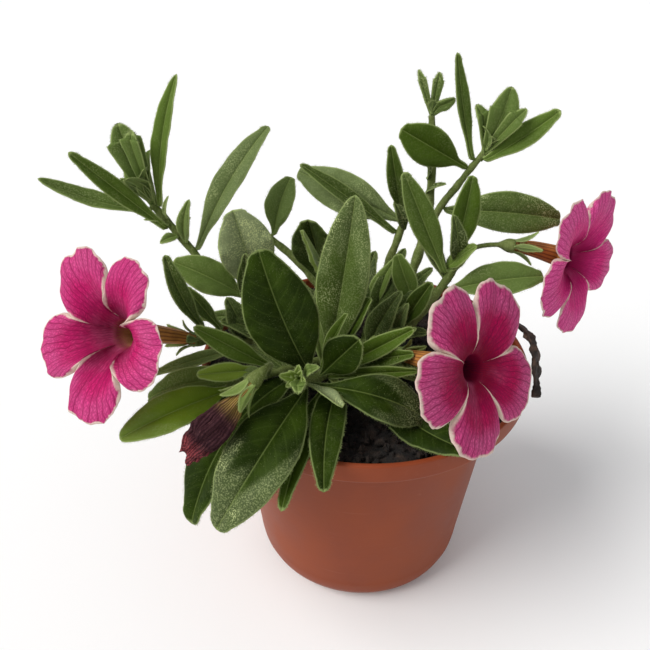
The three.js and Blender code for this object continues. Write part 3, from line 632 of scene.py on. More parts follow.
def blade_parts(
    left, middle, right, crest, rng, tone=0.4, down=0.3, hair=1.0, root=None, blunt=0.75, painted_tip_light=0.0
):
    """A leaf's blade and its down. Across each row the blade follows the straight lines from midrib to
    margins, with v from -1 to 1, raised by a camber of 0.12 half widths times 4|v|(1-|v|), by ripples that
    grow as |v| cubed towards the margin, and by the quilting between its veins. Over the last 1.15 spans,
    where g goes from 0 to 1, the half width is multiplied by 1 + blunt (sqrt(1 - g^2) / (1 - g) - 1). The
    upper side has a groove along the midrib and the underside a rib, bells of 0.5 and 0.55 mm across. The
    skins are 0.36 mm apart, thicker at the stalk, and 0.45 of that at the margin. The down added from
    about 0.62 of the way to the tip, sooner near the margins, is painted light: a sunlit patch drawn as
    down."""
    if root is not None:
        left, middle, right = drawn_on(left, middle, right, root)
    length = np.linalg.norm(np.diff(middle, axis=0), axis=1).sum() / MM
    count = int(np.clip(length * 1.6, 16, 64))
    half = 7 if length < 14 else 10 if length < 25 else 13
    t = np.linspace(0, 1, count + 1)[:-1]
    low, rib, high = (through(line, t) for line in (left, middle, right))
    last = 1 - 1.15 / (len(middle) - 1)
    gone = np.clip((t - last) / (1 - last), 0, 1)
    shut = 1 + blunt * (np.sqrt(1 - gone**2) / np.maximum(1 - gone, 0.02) - 1)
    shut = np.where(gone > 0, np.minimum(shut, 9.0), 1.0)[:, None]
    low, high = rib + (low - rib) * shut, rib + (high - rib) * shut
    tangent = unit(np.gradient(rib, axis=0))
    mean_side = unit((high - low).sum(axis=0))
    side = unit((high - low) + 0.02 * MM * mean_side)
    normal = unit(np.cross(side, tangent))
    normal = normal * np.sign((normal @ crest).sum())
    # each row's places: v across it, and offset, the distance from the midrib
    across = np.linspace(-1, 1, 2 * half + 1)
    v = np.sign(across) * np.abs(across) ** 1.2
    size = np.abs(v)[None, :]
    toward = np.where((v < 0)[None, :, None], (low - rib)[:, None], (high - rib)[:, None])
    spot = rib[:, None] + toward * size[..., None]
    reach = np.linalg.norm(toward, axis=-1) / MM
    offset = size * reach
    along = np.concatenate([[0], np.cumsum(np.linalg.norm(np.diff(rib, axis=0), axis=1))]) / MM
    share = (along / length)[:, None]
    spacing = np.clip(length / 8, 1.5, 4.4)
    vein = (along[:, None] - 0.85 * offset - 0.03 * offset**2) / spacing
    belly = 4 * size * (1 - size)
    turns = rng.uniform(0.8, 1.5) * length / 16
    phase = np.where(v < 0, rng.uniform(0, 6), rng.uniform(0, 6))
    wavy = np.sin(2 * np.pi * turns * share + phase)
    wavy = wavy + 0.5 * np.sin(4.6 * np.pi * turns * share + 2 * phase)
    lift = CAMBER * reach * belly - QUILTING * np.cos(2 * np.pi * vein) * belly * np.clip(reach / 6, 0, 1)
    lift = lift + RIPPLE * reach * wavy * size**3
    fade = 1 - eased(0.0, 0.16, share)
    thick = (SKIN_GAP + FOOT_GAP * fade * (1 - size**2)) * (1 - 0.55 * size**4)
    thick = thick * np.clip(reach / 1.6 + 0.25, 0, 1)
    groove = GROOVE * hump(offset, GROOVE_WIDTH) * (1 - share) ** 0.5 * np.clip(reach / 5, 0, 1)
    rise = RIB * hump(offset, RIB_WIDTH) * (1 - 0.85 * share) * np.clip(reach / 4, 0.15, 1)
    upper = spot + normal[:, None] * (lift + thick / 2 - groove)[..., None] * MM
    lower = spot + normal[:, None] * (lift - thick / 2 - rise)[..., None] * MM
    loop = np.concatenate([upper, lower[:, ::-1]], axis=1)
    rim = np.minimum((1 - size) * reach, (length - along)[:, None] * 0.6)
    flat = np.zeros_like(offset)
    # painted light: a sunlit patch from about 0.62 of the way to the tip, drawn as extra down
    furred = down + painted_tip_light * eased(0.62, 0.8, share + 0.24 * size**2 + 0.06 * np.sin(9 * v + 14 * share))
    marks = {
        "vein": both_faces(vein), "offset": both_faces(offset * np.sign(v)), "rim": both_faces(rim),
        "under": np.concatenate([flat, flat + 1], axis=1), "tone": both_faces(flat + tone),
        "down": both_faces(flat + furred),
    }
    parts = [net(loop, rib[0], middle[-1], marks)]
    if hair > 0:
        parts += blade_down(upper, lower, low, rib, high, normal, tangent, length, hair, rng)
    return parts


def blade_down(upper, lower, low, rib, high, normal, tangent, length, hair, rng):
    """Down on a blade: along each margin pointing outwards and forwards, and over both faces upright."""
    parts = []
    per_side = int(length * 5 * hair)
    for line in (low, high):
        place = rng.uniform(0.04, 1, per_side)
        root, middle = through(line, place), through(rib, place)
        lean = unit(root - middle) + 0.35 * through(tangent, place) + rng.normal(size=(per_side, 3)) * 0.3
        parts.append(hairs(root, lean, rng.uniform(0.3, 0.75, per_side) * MM, 0.03 * MM))
    width = np.linalg.norm(high - low, axis=1).mean() / MM
    spread = int(length * width * 1.1 * hair)
    for face, sign in ((upper, 1), (lower, -1)):
        i = rng.integers(1, face.shape[0] - 1, spread)
        j = rng.integers(1, face.shape[1] - 1, spread)
        a, b = rng.uniform(0, 1, (2, spread, 1))
        root = face[i, j] * (1 - a) + face[i - 1, j] * a
        root = root * (1 - b) + face[i, j - 1] * b
        lean = sign * normal[i] + 0.4 * tangent[i] + rng.normal(size=(spread, 3)) * 0.35
        parts.append(hairs(root, lean, rng.uniform(0.2, 0.5, spread) * MM, 0.022 * MM))
    return parts


# the look of each leaf: tone, from the darkest at 0 to the youngest at 1, and how grey with down it is
LOOKS = {
    "leaf_front_upper": (0.0, 0.0), "leaf_front_lower": (0.0, 0.0), "leaf_front_oval": (0.02, 0.0),
    "leaf_front_right": (0.02, 0.0), "leaf_front_curled": (0.95, 1.3), "leaf_over_rim": (0.04, 0.0),
    "leaf_rim_left": (0.2, 0.0), "leaf_left_hanging": (0.0, 0.0), "leaf_tall": (0.22, 0.2),
    "leaf_behind_edge": (0.7, 0.35), "leaf_pair_small": (0.32, 0.05), "leaf_pair_large": (0.2, 0.02),
    "leaf_spray_upper": (0.34, 0.05), "leaf_spray_middle": (0.26, 0.05), "leaf_spray_lower": (0.3, 0.06),
    "leaf_rim_right": (0.0, 0.0), "leaf_dark_back": (0.1, 0.12), "leaf_round_left": (0.9, 1.35),
    "leaf_flat_left": (0.42, 0.35), "leaf_left_long": (0.4, 0.1), "leaf_left_small": (0.8, 0.15),
    "leaf_left_light": (0.66, 0.0), "leaf_left_upper": (0.5, 0.25), "leaf_dark_long": (0.16, 0.15),
    "leaf_dark_short": (0.16, 0.12), "leaf_left_under": (0.4, 0.4), "leaf_left_broad": (0.5, 0.3),
    "leaf_shoot_left": (0.36, 0.25), "leaf_shoot_side": (0.3, 0.1), "leaf_shoot_upright": (0.42, 0.15),
    "leaf_shoot_long": (0.36, 0.6), "leaf_back_left": (0.36, 0.35), "leaf_back_long": (0.45, 0.68),
    "leaf_back_narrow": (0.2, 0.2), "leaf_back_small": (0.2, 0.1), "leaf_tall_back": (0.26, 0.05),
    "leaf_right_long": (0.3, 0.2), "leaf_right_upright": (0.24, 0.05), "leaf_right_back": (0.26, 0.3),
    "leaf_right_flat": (0.42, 0.32), "leaf_right_front": (0.16, 0.05), "leaf_crown_right": (0.4, 0.2),
    "leaf_outer_right": (0.4, 0.15), "leaf_outer_left": (0.26, 0.15),
}
# leaves whose tips are less round than the rest, and leaves with a painted sunlit patch towards the tip,
# drawn as thicker down
POINTED = {
    "leaf_tall": 0.3, "leaf_front_upper": 0.62, "leaf_front_lower": 0.55, "leaf_shoot_left": 0.4,
    "leaf_shoot_upright": 0.4, "leaf_left_light": 0.45, "leaf_left_long": 0.5,
}
# painted sunlit patches towards these leaves' tips, drawn as thicker down
PAINTED_TIP_LIGHTS = {"leaf_front_lower": 0.5, "leaf_front_right": 0.24, "leaf_tall": 0.3, "leaf_left_light": 0.2}


def make_leaves():
    """One piece for each leaf, its base drawn on into the nearest bark."""
    for number, name in enumerate(sorted(LOOKS)):
        rng = np.random.default_rng(100 + number)
        left, middle, right, crest = blade_of(name)
        tone, down = LOOKS[name]
        parts = blade_parts(
            left, middle, right, crest, rng, tone=tone, down=down, root=nearest_bark(middle[0]),
            blunt=POINTED.get(name, 0.8), painted_tip_light=PAINTED_TIP_LIGHTS.get(name, 0.0),
        )
        piece(name + "_blade", parts, [LEAF, DOWN], "leaf", name)


make_leaves()


# ---- small leaves worked out from a few numbers -------------------------
def small_blade(base, tip, crest, width, rng, arch=0.12, **look):
    """A little leaf from base to tip. Its width is width times sin(pi t^0.85)^0.8, or 0.35 (1 - t) where
    that is more, and its midrib rises by arch times its length times 4t(1 - t) towards crest."""
    t = np.linspace(0, 1, 9)[:, None]
    chord = tip - base
    up = unit(crest - chord * (crest @ chord) / (chord @ chord))
    side = unit(np.cross(chord, up))
    middle = base + chord * t + up * arch * np.linalg.norm(chord) * 4 * t * (1 - t)
    half = 0.5 * width * np.maximum(np.sin(np.pi * t**0.85) ** 0.8, 0.35 * (1 - t))
    half[-1] = 0
    fold = up * 0.25
    return blade_parts(
        middle - half * (side - fold), middle, middle + half * (side + fold), up, rng, **look
    )


def bud_parts(place, ahead, size, rng, count, **look):
    """A shoot's growing tip: little leaves 2.4 radians apart round an axis, the inner ones shorter and
    closer to it."""
    aside = unit(np.cross(ahead, [0.2, 0.4, 1.0]))
    other = np.cross(ahead, aside)
    parts = []
    for k in range(count):
        turn = 2.4 * k + rng.uniform(-0.2, 0.2)
        out = aside * np.cos(turn) + other * np.sin(turn)
        inner = k / count
        lean = unit(ahead + out * (0.7 - 0.5 * inner))
        reach = size * (1 - 0.45 * inner) * rng.uniform(0.85, 1.1)
        base = place - ahead * 0.4 * MM + out * 0.4 * MM
        parts += small_blade(base, base + lean * reach, ahead - out, reach * 0.5, rng, **look)
    return parts


# each tuft: its tone, its longest small leaf as a share of its size, and how many small leaves it has
TUFTS = {
    "tuft_front": (0.5, 0.45, 15), "tuft_left": (0.42, 0.5, 12), "tuft_right_tall": (0.3, 0.3, 8),
    "tuft_right_outer": (0.45, 0.3, 9),
}


def make_tufts():
    """Each shoot's end: its larger leaves from the solid, drawn on to the bark, and small ones between."""
    for number, (name, (tone, share, count)) in enumerate(TUFTS.items()):
        rng = np.random.default_rng(300 + number)
        blades, core = blades_of(name)
        bark = nearest_bark(core)
        ahead = unit(core - bark + 1e-9)
        parts = []
        for left, middle, right, crest in blades:
            parts += blade_parts(
                left, middle, right, crest, rng, tone=tone, down=0.3, root=bark, blunt=0.25
            )
        size = np.linalg.norm(np.subtract(*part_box(name))) * share
        heart = bark + ahead * MM
        parts += bud_parts(heart, ahead, size, rng, count, tone=tone + 0.1, down=0.15, hair=1.6)
        piece(name + "_leaves", parts, [LEAF, DOWN], "leaf", name)


make_tufts()


# small leaves that grow straight from the bark, in millimetres: where each starts (the nearest bark is
# used), its tip, its width, and its tone and down
LEAFLETS = [
    # scales and leaflets along the shoot on the left
    ((-64, 23, 118), (-62, 21, 127), 2.0, 0.35, 0.5),
    ((-65, 23, 117), (-71, 20, 119), 1.6, 0.5, 0.5),
    ((-61, 22, 114), (-56, 22, 119), 2.6, 0.35, 0.4),
    ((-58, 20, 111), (-55, 18, 127), 5.0, 0.35, 0.3),
    ((-61, 20, 113), (-66, 17, 112), 4.0, 0.45, 0.3),
    # behind the large front leaves
    ((-12, -18, 87), (-18, -6, 107), 3.6, 0.55, 0.35),
    ((-10, -16, 87), (-6, -8, 101), 4.2, 0.5, 0.1),
    ((-38, 6, 97), (-37, 5, 115), 6.5, 0.05, 0.1),
    ((-37, -9, 94), (-42, -8, 107), 8.0, 0.05, 0.2),
    ((-31, -8, 92), (-44, -12, 101), 7.5, 0.12, 0.2),
    ((-14, 2, 87), (-23, 8, 104), 9.0, 0.02, 0.2),
    ((-12, 4, 87), (-12, 12, 108), 9.0, 0.02, 0.2),
    # the thicket right of the tall leaf
    ((-5, 6, 84), (-1, 3, 98), 4.0, 0.75, 0.4),
    ((2, 12, 91), (10, 11, 110), 6.0, 0.55, 0.3),
    ((2, -1, 84), (11, -1, 105), 8.5, 0.16, 0.3),
    ((10, -1, 89), (13, -3, 102), 4.2, 0.3, 0.5),
    ((0, -3, 84), (12, -4, 93), 4.6, 0.85, 0.3),
    ((6, 4, 88), (19, 3, 104), 7.0, 0.12, 0.2),
    ((3, 8, 88), (13, 14, 112), 7.5, 0.1, 0.2),
    ((-2, 10, 86), (4, 20, 108), 8.0, 0.06, 0.2),
    ((8, 6, 92), (22, 12, 106), 6.5, 0.2, 0.3),
    ((1, 4, 84), (20, -2, 90), 7.5, 0.1, 0.2),
    ((4, 2, 83), (23, 8, 95), 7.0, 0.14, 0.2),
    ((5, -2, 81), (16, -5, 94), 4.6, 0.7, 0.6),
    ((4, -4, 79), (9, -9, 91), 3.2, 0.9, 0.5),
    ((2, -6, 79), (17, -12, 84), 5.0, 0.15, 0.3),
    ((0, -8, 79), (18, -14, 79), 4.4, 0.5, 0.3),
    # round the shoots on the right
    ((28, 10, 110), (26, 9, 126), 6.0, 0.1, 0.2),
    ((27, 9, 108), (34, 6, 117), 6.5, 0.55, 0.2),
    ((25, 9, 107), (33, 12, 112), 5.5, 0.4, 0.3),
    ((22, 38, 126), (20, 35, 134), 3.0, 0.2, 0.3),
    ((20, 36, 122), (27, 30, 127), 3.4, 0.2, 0.3),
    ((16, 26, 112), (10, 30, 121), 5.0, 0.15, 0.3),
    ((24, 11, 104), (17, 18, 117), 5.5, 0.12, 0.3),
    # round the middle of the front
    ((-12, -22, 88), (-5, -25, 82), 2.6, 0.95, 0.5),
    ((-32, -23, 88), (-37, -26, 76), 4.4, 0.8, 0.6),
    ((-30, -22, 88), (-40, -24, 91), 4.4, 0.5, 0.5),
    ((-24, -18, 87), (-36, -12, 92), 5.5, 0.25, 0.4),
    ((-22, -16, 87), (-34, -2, 93), 6.5, 0.2, 0.4),
    ((-16, -14, 86), (-26, -26, 78), 6.0, 0.1, 0.3),
]


def make_leaflets():
    """Small leaves that have no solid of their own, each drawn from the nearest bark."""
    rng = np.random.default_rng(350)
    parts = []
    for start, tip, width, tone, down in LEAFLETS:
        foot = nearest_bark(np.array(start) * MM)
        tip = np.array(tip) * MM
        arch = rng.uniform(0.06, 0.16)
        parts += small_blade(
            foot, tip, np.array([0.0, -0.5, 1.0]), width * MM, rng, arch=arch, tone=tone, down=down
        )
    piece("small_leaves", parts, [LEAF, DOWN], "leaf")


make_leaflets()


# ---- flowers ------------------------------------------------------------
def swept(path, radii, sides, ripple=0.0, ribs=5, finish=0):
    """A tube along a path: each row is a circle square to it with that radius, times 1 plus ripple times
    the cosine of ribs times the angle."""
    tangent = unit(np.gradient(path, axis=0))
    wanted = unit(np.cross(tangent[0], tangent[-1] + [0.01, 0.02, 0.013]))
    aside = unit(wanted - tangent * (tangent @ wanted)[:, None])
    other = np.cross(tangent, aside)
    turn = np.arange(sides) * 2 * np.pi / sides
    spokes = aside[:, None] * np.cos(turn)[:, None] + other[:, None] * np.sin(turn)[:, None]
    size = radii[:, None] * (1 + ripple * np.cos(ribs * turn))
    rows = path[:, None] + spokes * size[..., None]
    return net(rows, path[0], path[-1], {}, finish)


STALK_SIDES = 14
STALK_ROWS = 40
STALK_HAIRS = 420


def make_calyx(name, number, tone, down, span):
    """A stalk that widens into a cup, and five narrow sepals that stand round the flower's tube. The
    stalk's radius is 0.72 mm, 0.25 more at the bark and 1.55 more at the cup."""
    rng = np.random.default_rng(400 + number)
    spots, touching, _ = cage(name)
    poles = poles_of(touching, 10)
    flat_end = [np.linalg.norm(spots[touching[p]] - spots[p], axis=1).mean() for p in poles]
    sections, start, end = tube_of(name, 10, spots[poles[int(np.argmin(flat_end))]])
    stalk = sections.mean(axis=1)[:8]
    seat = stalk[-1]
    axis = unit(end - seat)
    bark = nearest_bark(start)
    inside = bark + 0.3 * (bark - start)
    line = np.concatenate([inside[None], stalk[::2], (seat + axis * 2.2 * MM)[None]])
    t = np.linspace(0, 1, STALK_ROWS)
    path = through(line, t)
    radii = (0.72 + 0.25 * (1 - eased(0, 0.2, t)) + 1.55 * eased(0.72, 0.97, t)) * MM
    tube = swept(path, radii, STALK_SIDES, ripple=0.04, finish=2)
    chosen = rng.integers(0, STALK_SIDES * STALK_ROWS, STALK_HAIRS)
    roots = tube["points"][chosen]
    lean = unit(roots - path[chosen // STALK_SIDES]) + rng.normal(size=(STALK_HAIRS, 3)) * 0.25
    fuzz = hairs(roots, lean, rng.uniform(0.3, 0.8, STALK_HAIRS) * MM, 0.024 * MM, finish=3)
    parts = [tube, fuzz]
    ring = sections[9]
    height = (ring - seat) @ axis
    tips = ring[np.argsort(height)[-5:]]
    for tip in tips:
        out = unit((tip - seat) - axis * ((tip - seat) @ axis))
        base = seat + axis * 1.6 * MM + out * 1.9 * MM
        end_point = tip + out * 0.6 * MM + axis * rng.uniform(-0.5, 1.5) * MM
        width = rng.uniform(*span) * MM
        parts += small_blade(
            base, end_point, -out, width, rng, arch=0.1, tone=tone, down=down, hair=1.6
        )
    piece(name + "_green", parts, [LEAF, DOWN, BARK, BARK_DOWN], "stem", name)


# each cup: how young its green looks, how downy it is, and its sepals' widths in millimetres
CALYCES = {
    "calyx_left": (0.5, 0.4, (2.3, 2.9)),
    "calyx_front": (0.7, 0.4, (2.3, 2.9)),
    "calyx_right": (0.5, 0.4, (2.3, 2.9)),
    "calyx_wilted": (0.74, 0.14, (3.1, 3.8)),
}
for calyx_number, (calyx_name, looks) in enumerate(CALYCES.items()):
    make_calyx(calyx_name, calyx_number, *looks)


# an open flower: its lobes, how far their ends curl back, and its tube's radii and wall, in millimetres
LOBES = 5
REFLEX = 2.5
TUBE_FOOT, MOUTH = 1.7, 4.2
TUBE_WALL = 0.3
PETAL = 0.26
# the net's columns for each lobe, and the tube's row from which its inside is drawn
COLUMNS = 42
INSIDE_FROM = 8


def facing_of(inner, edge, foot):
    """The way that a limb faces. Its solid's rows between 0.2 of the way out and the rim are joined by
    straight lines, so the steps between them share one part along the limb's axis."""
    steps = edge - inner
    facing = np.linalg.svd(steps - steps.mean(axis=0))[2][2]
    return facing * np.sign(facing @ (edge.mean(axis=0) - foot.mean(axis=0)))


def limb_axis(inner, edge, facing):
    """Where the lines from the inner row to the rim meet, the rim row laid flat along the limb's axis,
    and the point of the inner row that each rim point goes with: the one in the direction nearest to it."""
    flat = edge - np.outer(edge @ facing, facing)
    flat_inner = inner - np.outer(inner @ facing, facing)
    middle = flat_inner.mean(axis=0)
    for _ in range(3):
        pair = (unit(flat - middle) @ unit(flat_inner - middle).T).argmax(axis=1)
        lines = unit(flat - flat_inner[pair])
        across = np.eye(3) - lines[:, :, None] * lines[:, None, :]
        total = across.sum(axis=0) + np.outer(facing, facing)
        middle = np.linalg.solve(total, np.einsum("nij,nj->i", across, flat))
    return middle, flat, pair


def lobes_of(spokes, first, second):
    """The angles of the lobes' tips and the notches by turns, with the first again one turn on, the tips'
    distances from the axis, and the notches' mean distance."""
    around, reach = np.arctan2(spokes @ second, spokes @ first), np.linalg.norm(spokes, axis=1)
    order = np.argsort(around)
    around, reach = around[order], reach[order]
    before, after = np.roll(reach, 1), np.roll(reach, -1)
    highs = np.flatnonzero((reach > before) & (reach > after))
    lows = np.flatnonzero((reach < before) & (reach < after))
    assert len(highs) == LOBES and len(lows) == LOBES, (len(highs), len(lows))
    if lows[0] < highs[0]:
        lows = np.roll(lows, -1)
    knots = np.unwrap(np.stack([around[highs], around[lows]], axis=1).ravel())
    return np.append(knots, knots[0] + 2 * np.pi), reach[highs], reach[lows].mean()


def make_corolla(name, number, finish, fullness, wedge):
    """A trumpet flower. The tube widens evenly from 1.7 to 4.2 mm. Beyond the mouth the limb reaches out to
    notch + (tip - notch) |cos(pi w)|^fullness at w lobes round, with a dent at each tip and three sines of
    scallops, and rises by flare (1 - (1 - s)^2) less 2.5 mm s^3 at the share s of that reach; the flare is
    read from the solid. Each lobe arches across, tilts a little, has a shallow crease along its middle and
    waves along its rim. The skin runs from inside the tube out to the rim and back down the outside. wedge
    says how far the cream margin widens at the notches."""
    rng = np.random.default_rng(500 + number)
    sections = tube_of(name, 6 * LOBES, cage(name)[0].mean(axis=0))[0]
    inner, edge = sections[2], sections[5]
    facing = facing_of(inner, edge, sections[0])
    middle, flat, pair = limb_axis(inner, edge, facing)
    # between 0.2 of the way out and the rim the solid rises by 0.64 of its flare less 0.99 of its reflex
    climb = ((edge - inner[pair]) @ facing).mean() / MM
    flare = (climb + 0.99 * REFLEX) / 0.64
    mouth = middle + facing * ((edge @ facing).mean() - (flare - REFLEX) * MM)
    tube_points = np.stack([sections[row].mean(axis=0) for row in (-1, -2, -3)] + [mouth])
    begin = unit(tube_points[1] - tube_points[0])
    first = unit(np.cross(facing, begin))
    second = np.cross(facing, first)
    knots, tips, notch = lobes_of(flat - middle, first, second)
    # columns stand closer together towards the notches, where the outline turns fastest
    even = np.arange(LOBES * COLUMNS) / COLUMNS
    from_lobe = even - np.round(even)
    w = np.round(even) + 0.5 * np.sign(from_lobe) * (1 - (1 - 2 * np.abs(from_lobe)) ** 1.6)
    angle = np.interp(w, np.arange(2 * LOBES + 1) / 2, knots)
    near = w - np.round(w)
    lobe = np.round(w).astype(int) % LOBES
    dent = 1 - 0.035 * hump(near, 0.07) * rng.uniform(0.4, 1.4, LOBES)[lobe]
    outline = (notch + (tips[lobe] * 1.01 - notch) * np.abs(np.cos(np.pi * w)) ** fullness) * dent
    scallops = 0.007 * np.sin(31 * angle + 2) + 0.004 * np.sin(67 * angle) + 0.006 * np.sin(13 * angle)
    outline = outline * (1 + scallops)
    spread = first * np.cos(angle)[:, None] + second * np.sin(angle)[:, None]
    slope = np.gradient(outline) / np.maximum(np.gradient(angle) * outline, 1e-9)
    # the limb's rows
    s = np.linspace(0, 1, 40)[:, None] ** 0.9
    distance = MOUTH * MM + (outline - MOUTH * MM) * s
    q = 2 * near
    phase = rng.uniform(0, 6, LOBES)[lobe]
    tilt = rng.uniform(-0.5, 0.5, LOBES)[lobe]
    lift = flare * (1 - (1 - s) ** 2) - REFLEX * s**3
    lift = lift - 1.5 * q**2 * s**2 - 0.55 * hump(q, 0.16) * np.sin(np.pi * s) ** 0.7
    lift = lift + 0.55 * s**2 * np.sin(5 * q + phase) * np.abs(q) + 0.35 * s**4 * np.sin(13 * q + 2 * phase)
    lift = lift + tilt * s**2 * np.cos(np.pi * near) ** 2
    thick = PETAL * (1 - 0.5 * s**3)
    face = mouth + spread * distance[..., None] + facing * ((lift + thick / 2) * MM)[..., None]
    back = mouth + spread * distance[..., None] + facing * ((lift - thick / 2) * MM)[..., None]
    # the tube's rows, square to its own line
    along = np.linspace(0, 1, 26)[:, None]
    path = through(tube_points, along[:, 0]) - (1 - eased(0, 0.2, along)) * begin * 1.2 * MM
    tangent = unit(np.gradient(path, axis=0))
    tangent[-1] = facing
    aside = unit(first - tangent * (tangent @ first)[:, None])
    other = np.cross(tangent, aside)
    ring = aside[:, None] * np.cos(angle)[:, None] + other[:, None] * np.sin(angle)[:, None]
    radius = TUBE_FOOT + (MOUTH - TUBE_FOOT) * along
    radius = radius * (1 + 0.045 * np.cos(LOBES * angle) * np.sin(np.pi * along))
    outside = path[:, None] + ring * (radius * MM)[..., None]
    inside = path[:, None] + ring * ((radius - TUBE_WALL) * MM)[..., None]
    rows = np.concatenate([inside[INSIDE_FROM:-1], face, back[::-1], outside[:-1][::-1]])

    def all_round(limb, tube):
        """A mark on the limb and one on the tube, on the inside and then on the outside."""
        return np.concatenate([tube[INSIDE_FROM:-1], limb, limb[::-1], tube[:-1][::-1]])

    on_limb, on_tube = np.zeros_like(distance), np.zeros_like(radius)
    aside_of_lobe = np.abs(near) * 2 * np.pi / LOBES
    cream = wedge * hump(1 - np.abs(q), 0.34) * hump((distance - notch) / MM, 3.2)
    marks = {
        "side": all_round(aside_of_lobe * distance / MM, aside_of_lobe * (radius - TUBE_WALL)),
        "radial": all_round(distance / MM, np.clip(MOUTH - 4 * (1 - along), 0, MOUTH) + on_tube),
        "rim": all_round((outline - distance) / MM / np.sqrt(1 + slope**2), on_tube + 9),
        "notch": all_round(cream, on_tube),
        "under": np.concatenate([on_tube[INSIDE_FROM:-1], on_limb, on_limb + 1, on_tube[:-1] + 1]),
        "tube": all_round(on_limb + (1 - eased(0.0, 0.3, s)), on_tube + 1),
        "turn_sine": all_round(np.sin(angle) + on_limb, np.sin(angle) + on_tube),
        "turn_cosine": all_round(np.cos(angle) + on_limb, np.cos(angle) + on_tube),
    }
    petals = net(rows, path[INSIDE_FROM], path[0], marks)
    piece(name + "_petals", [petals], [finish], "petal", name)
    make_anthers(name, mouth, facing, first, second)


# how deep the anthers and the stigma stand below the mouth, and their length and radius, in millimetres
ANTHERS, ANTHER_DEPTH, STIGMA_DEPTH = 5, 5.6, 4.6
ANTHER_LENGTH, ANTHER_RADIUS = 1.8, 0.55


def make_anthers(name, mouth, facing, first, second):
    """Five anthers round a stigma, each a little spindle that is notched at both sides."""
    t = np.linspace(0, 1, 10)
    radii = np.sqrt(np.sin(np.pi * (0.04 + 0.92 * t))) * ANTHER_RADIUS * MM
    parts = []
    for k in range(ANTHERS + 1):
        turn = k * 2 * np.pi / ANTHERS + 0.4
        out, depth = (1.0, ANTHER_DEPTH) if k < ANTHERS else (0.0, STIGMA_DEPTH)
        place = mouth - facing * depth * MM + (first * np.cos(turn) + second * np.sin(turn)) * out * MM
        line = place + facing * (t[:, None] - 0.5) * ANTHER_LENGTH * MM
        parts.append(swept(line, radii, 10, ripple=0.12, ribs=2))
    piece(name + "_anthers", parts, [POLLEN], "petal")


def pollen_finish():
    """Anthers: cream yellow with powdery grains."""
    f = Finish("anther_pollen", Roughness=0.9)
    color = f.blend(f.noise(2500.0, 2.0), paint(206, 176, 92), paint(236, 216, 150))
    return f.done(color, normal=f.bump(f.noise(4200.0), 0.0001, 0.8))


POLLEN = pollen_finish()
# each flower's finish, the exponent of its lobes' outline and how wide the cream runs in its notches
FLOWERS = {
    "corolla_left": (PETAL_LEFT, 0.46, 1.6), "corolla_front": (PETAL_FRONT, 0.32, 1.8),
    "corolla_right": (PETAL_RIGHT, 0.42, 0.6),
}
for flower_number, (flower_name, flower_looks) in enumerate(FLOWERS.items()):
    make_corolla(flower_name, flower_number, *flower_looks)


def limp_tube(node, sides, near, rows, columns, shape):
    """A crumpled tube read from a solid: each section's centre, and the two ways that it is broad and flat,
    from its points' own spread. shape(t, turn, broad, flat) gives both sizes in each direction, and how
    far each point is shifted along the tube."""
    sections, start, end = tube_of(node, sides, near)
    centres = np.concatenate([start[None], sections[1:-1].mean(axis=1), end[None]])
    inner = sections - sections.mean(axis=1, keepdims=True)
    axes = np.linalg.svd(inner[len(inner) * 2 // 3])[2]
    t = np.linspace(0, 1, rows)
    path = through(centres, t)
    tangent = unit(np.gradient(path, axis=0))
    broad_way = unit(axes[0] - tangent * (tangent @ axes[0])[:, None])
    flat_way = np.cross(tangent, broad_way)
    broad = through(np.abs(inner @ axes[0]).max(axis=1), t)[:, None]
    flat = through(np.abs(inner @ axes[1]).max(axis=1), t)[:, None]
    turn = np.arange(columns) * 2 * np.pi / columns
    wide, thin, forward = shape(t[:, None], turn[None], broad, flat)
    spots = path[:, None] + broad_way[:, None] * (wide * np.sin(turn))[..., None]
    spots = spots + flat_way[:, None] * (thin * np.cos(turn))[..., None]
    spots = spots + tangent[:, None] * forward[..., None]
    marks = {
        "along": t[:, None] + 0 * turn, "turn_sine": np.sin(turn) + 0 * t[:, None],
        "turn_cosine": np.cos(turn) + 0 * t[:, None],
    }
    return spots, path, marks


def make_wilted():
    """The spent corolla: six lengthwise pleats of 0.05 + 0.14 t and eleven of 0.07 t, cross wrinkles from
    ripples of 5 to 1.2 mm, and a ragged mouth folded back into itself. The bag is slimmed from 0.92 to 0.8
    of the solid's size along its middle."""
    rng = np.random.default_rng(600)
    cup = np.array(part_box("calyx_wilted")).mean(axis=0)

    def shape(t, turn, broad, flat):
        """Both sizes, pleated and slimmed, and the mouth's ragged edge."""
        pleat = 1 + (0.05 + 0.14 * t) * np.cos(6 * turn + 3.5 * t + 0.6 * np.sin(9 * t))
        pleat = pleat + 0.07 * t * np.sin(11 * turn + 8 * t)
        ragged = eased(0.84, 1, t) * (1.5 * np.sin(2 * turn + 0.6) + 0.5 * np.sin(5 * turn)) * MM
        slim = 0.92 - 0.12 * eased(0.4, 0.8, t)
        return broad * pleat * slim, flat * pleat * slim, ragged

    spots, path, marks = limp_tube("corolla_wilted", 12, cup, 110, 96, shape)
    centre = path[:, None]
    away = unit(spots - centre)
    dents = ripples(spots, rng, 14, 5 * MM, 1.2 * MM) * 0.32 * marks["along"]
    spots = spots + away * dents[..., None] * MM
    # the rows folded back in shrink from 0.86 to 0.2 of the mouth and go 3 mm deep
    folds = 8
    inside = centre[-1] + (spots[-1] - path[-1]) * np.linspace(0.86, 0.2, folds)[:, None, None]
    inside = inside - unit(path[-1] - path[-6]) * (np.linspace(0.1, 1, folds) * 3.0 * MM)[:, None, None]
    rows = np.concatenate([spots, inside])
    marks = {key: np.concatenate([m, np.repeat(m[-1:], folds, axis=0)]) for key, m in marks.items()}
    parts = [net(rows, path[0], rows[-1].mean(axis=0), marks)]
    piece("corolla_wilted_petals", parts, [WILTED], "wilted", "corolla_wilted")


make_wilted()


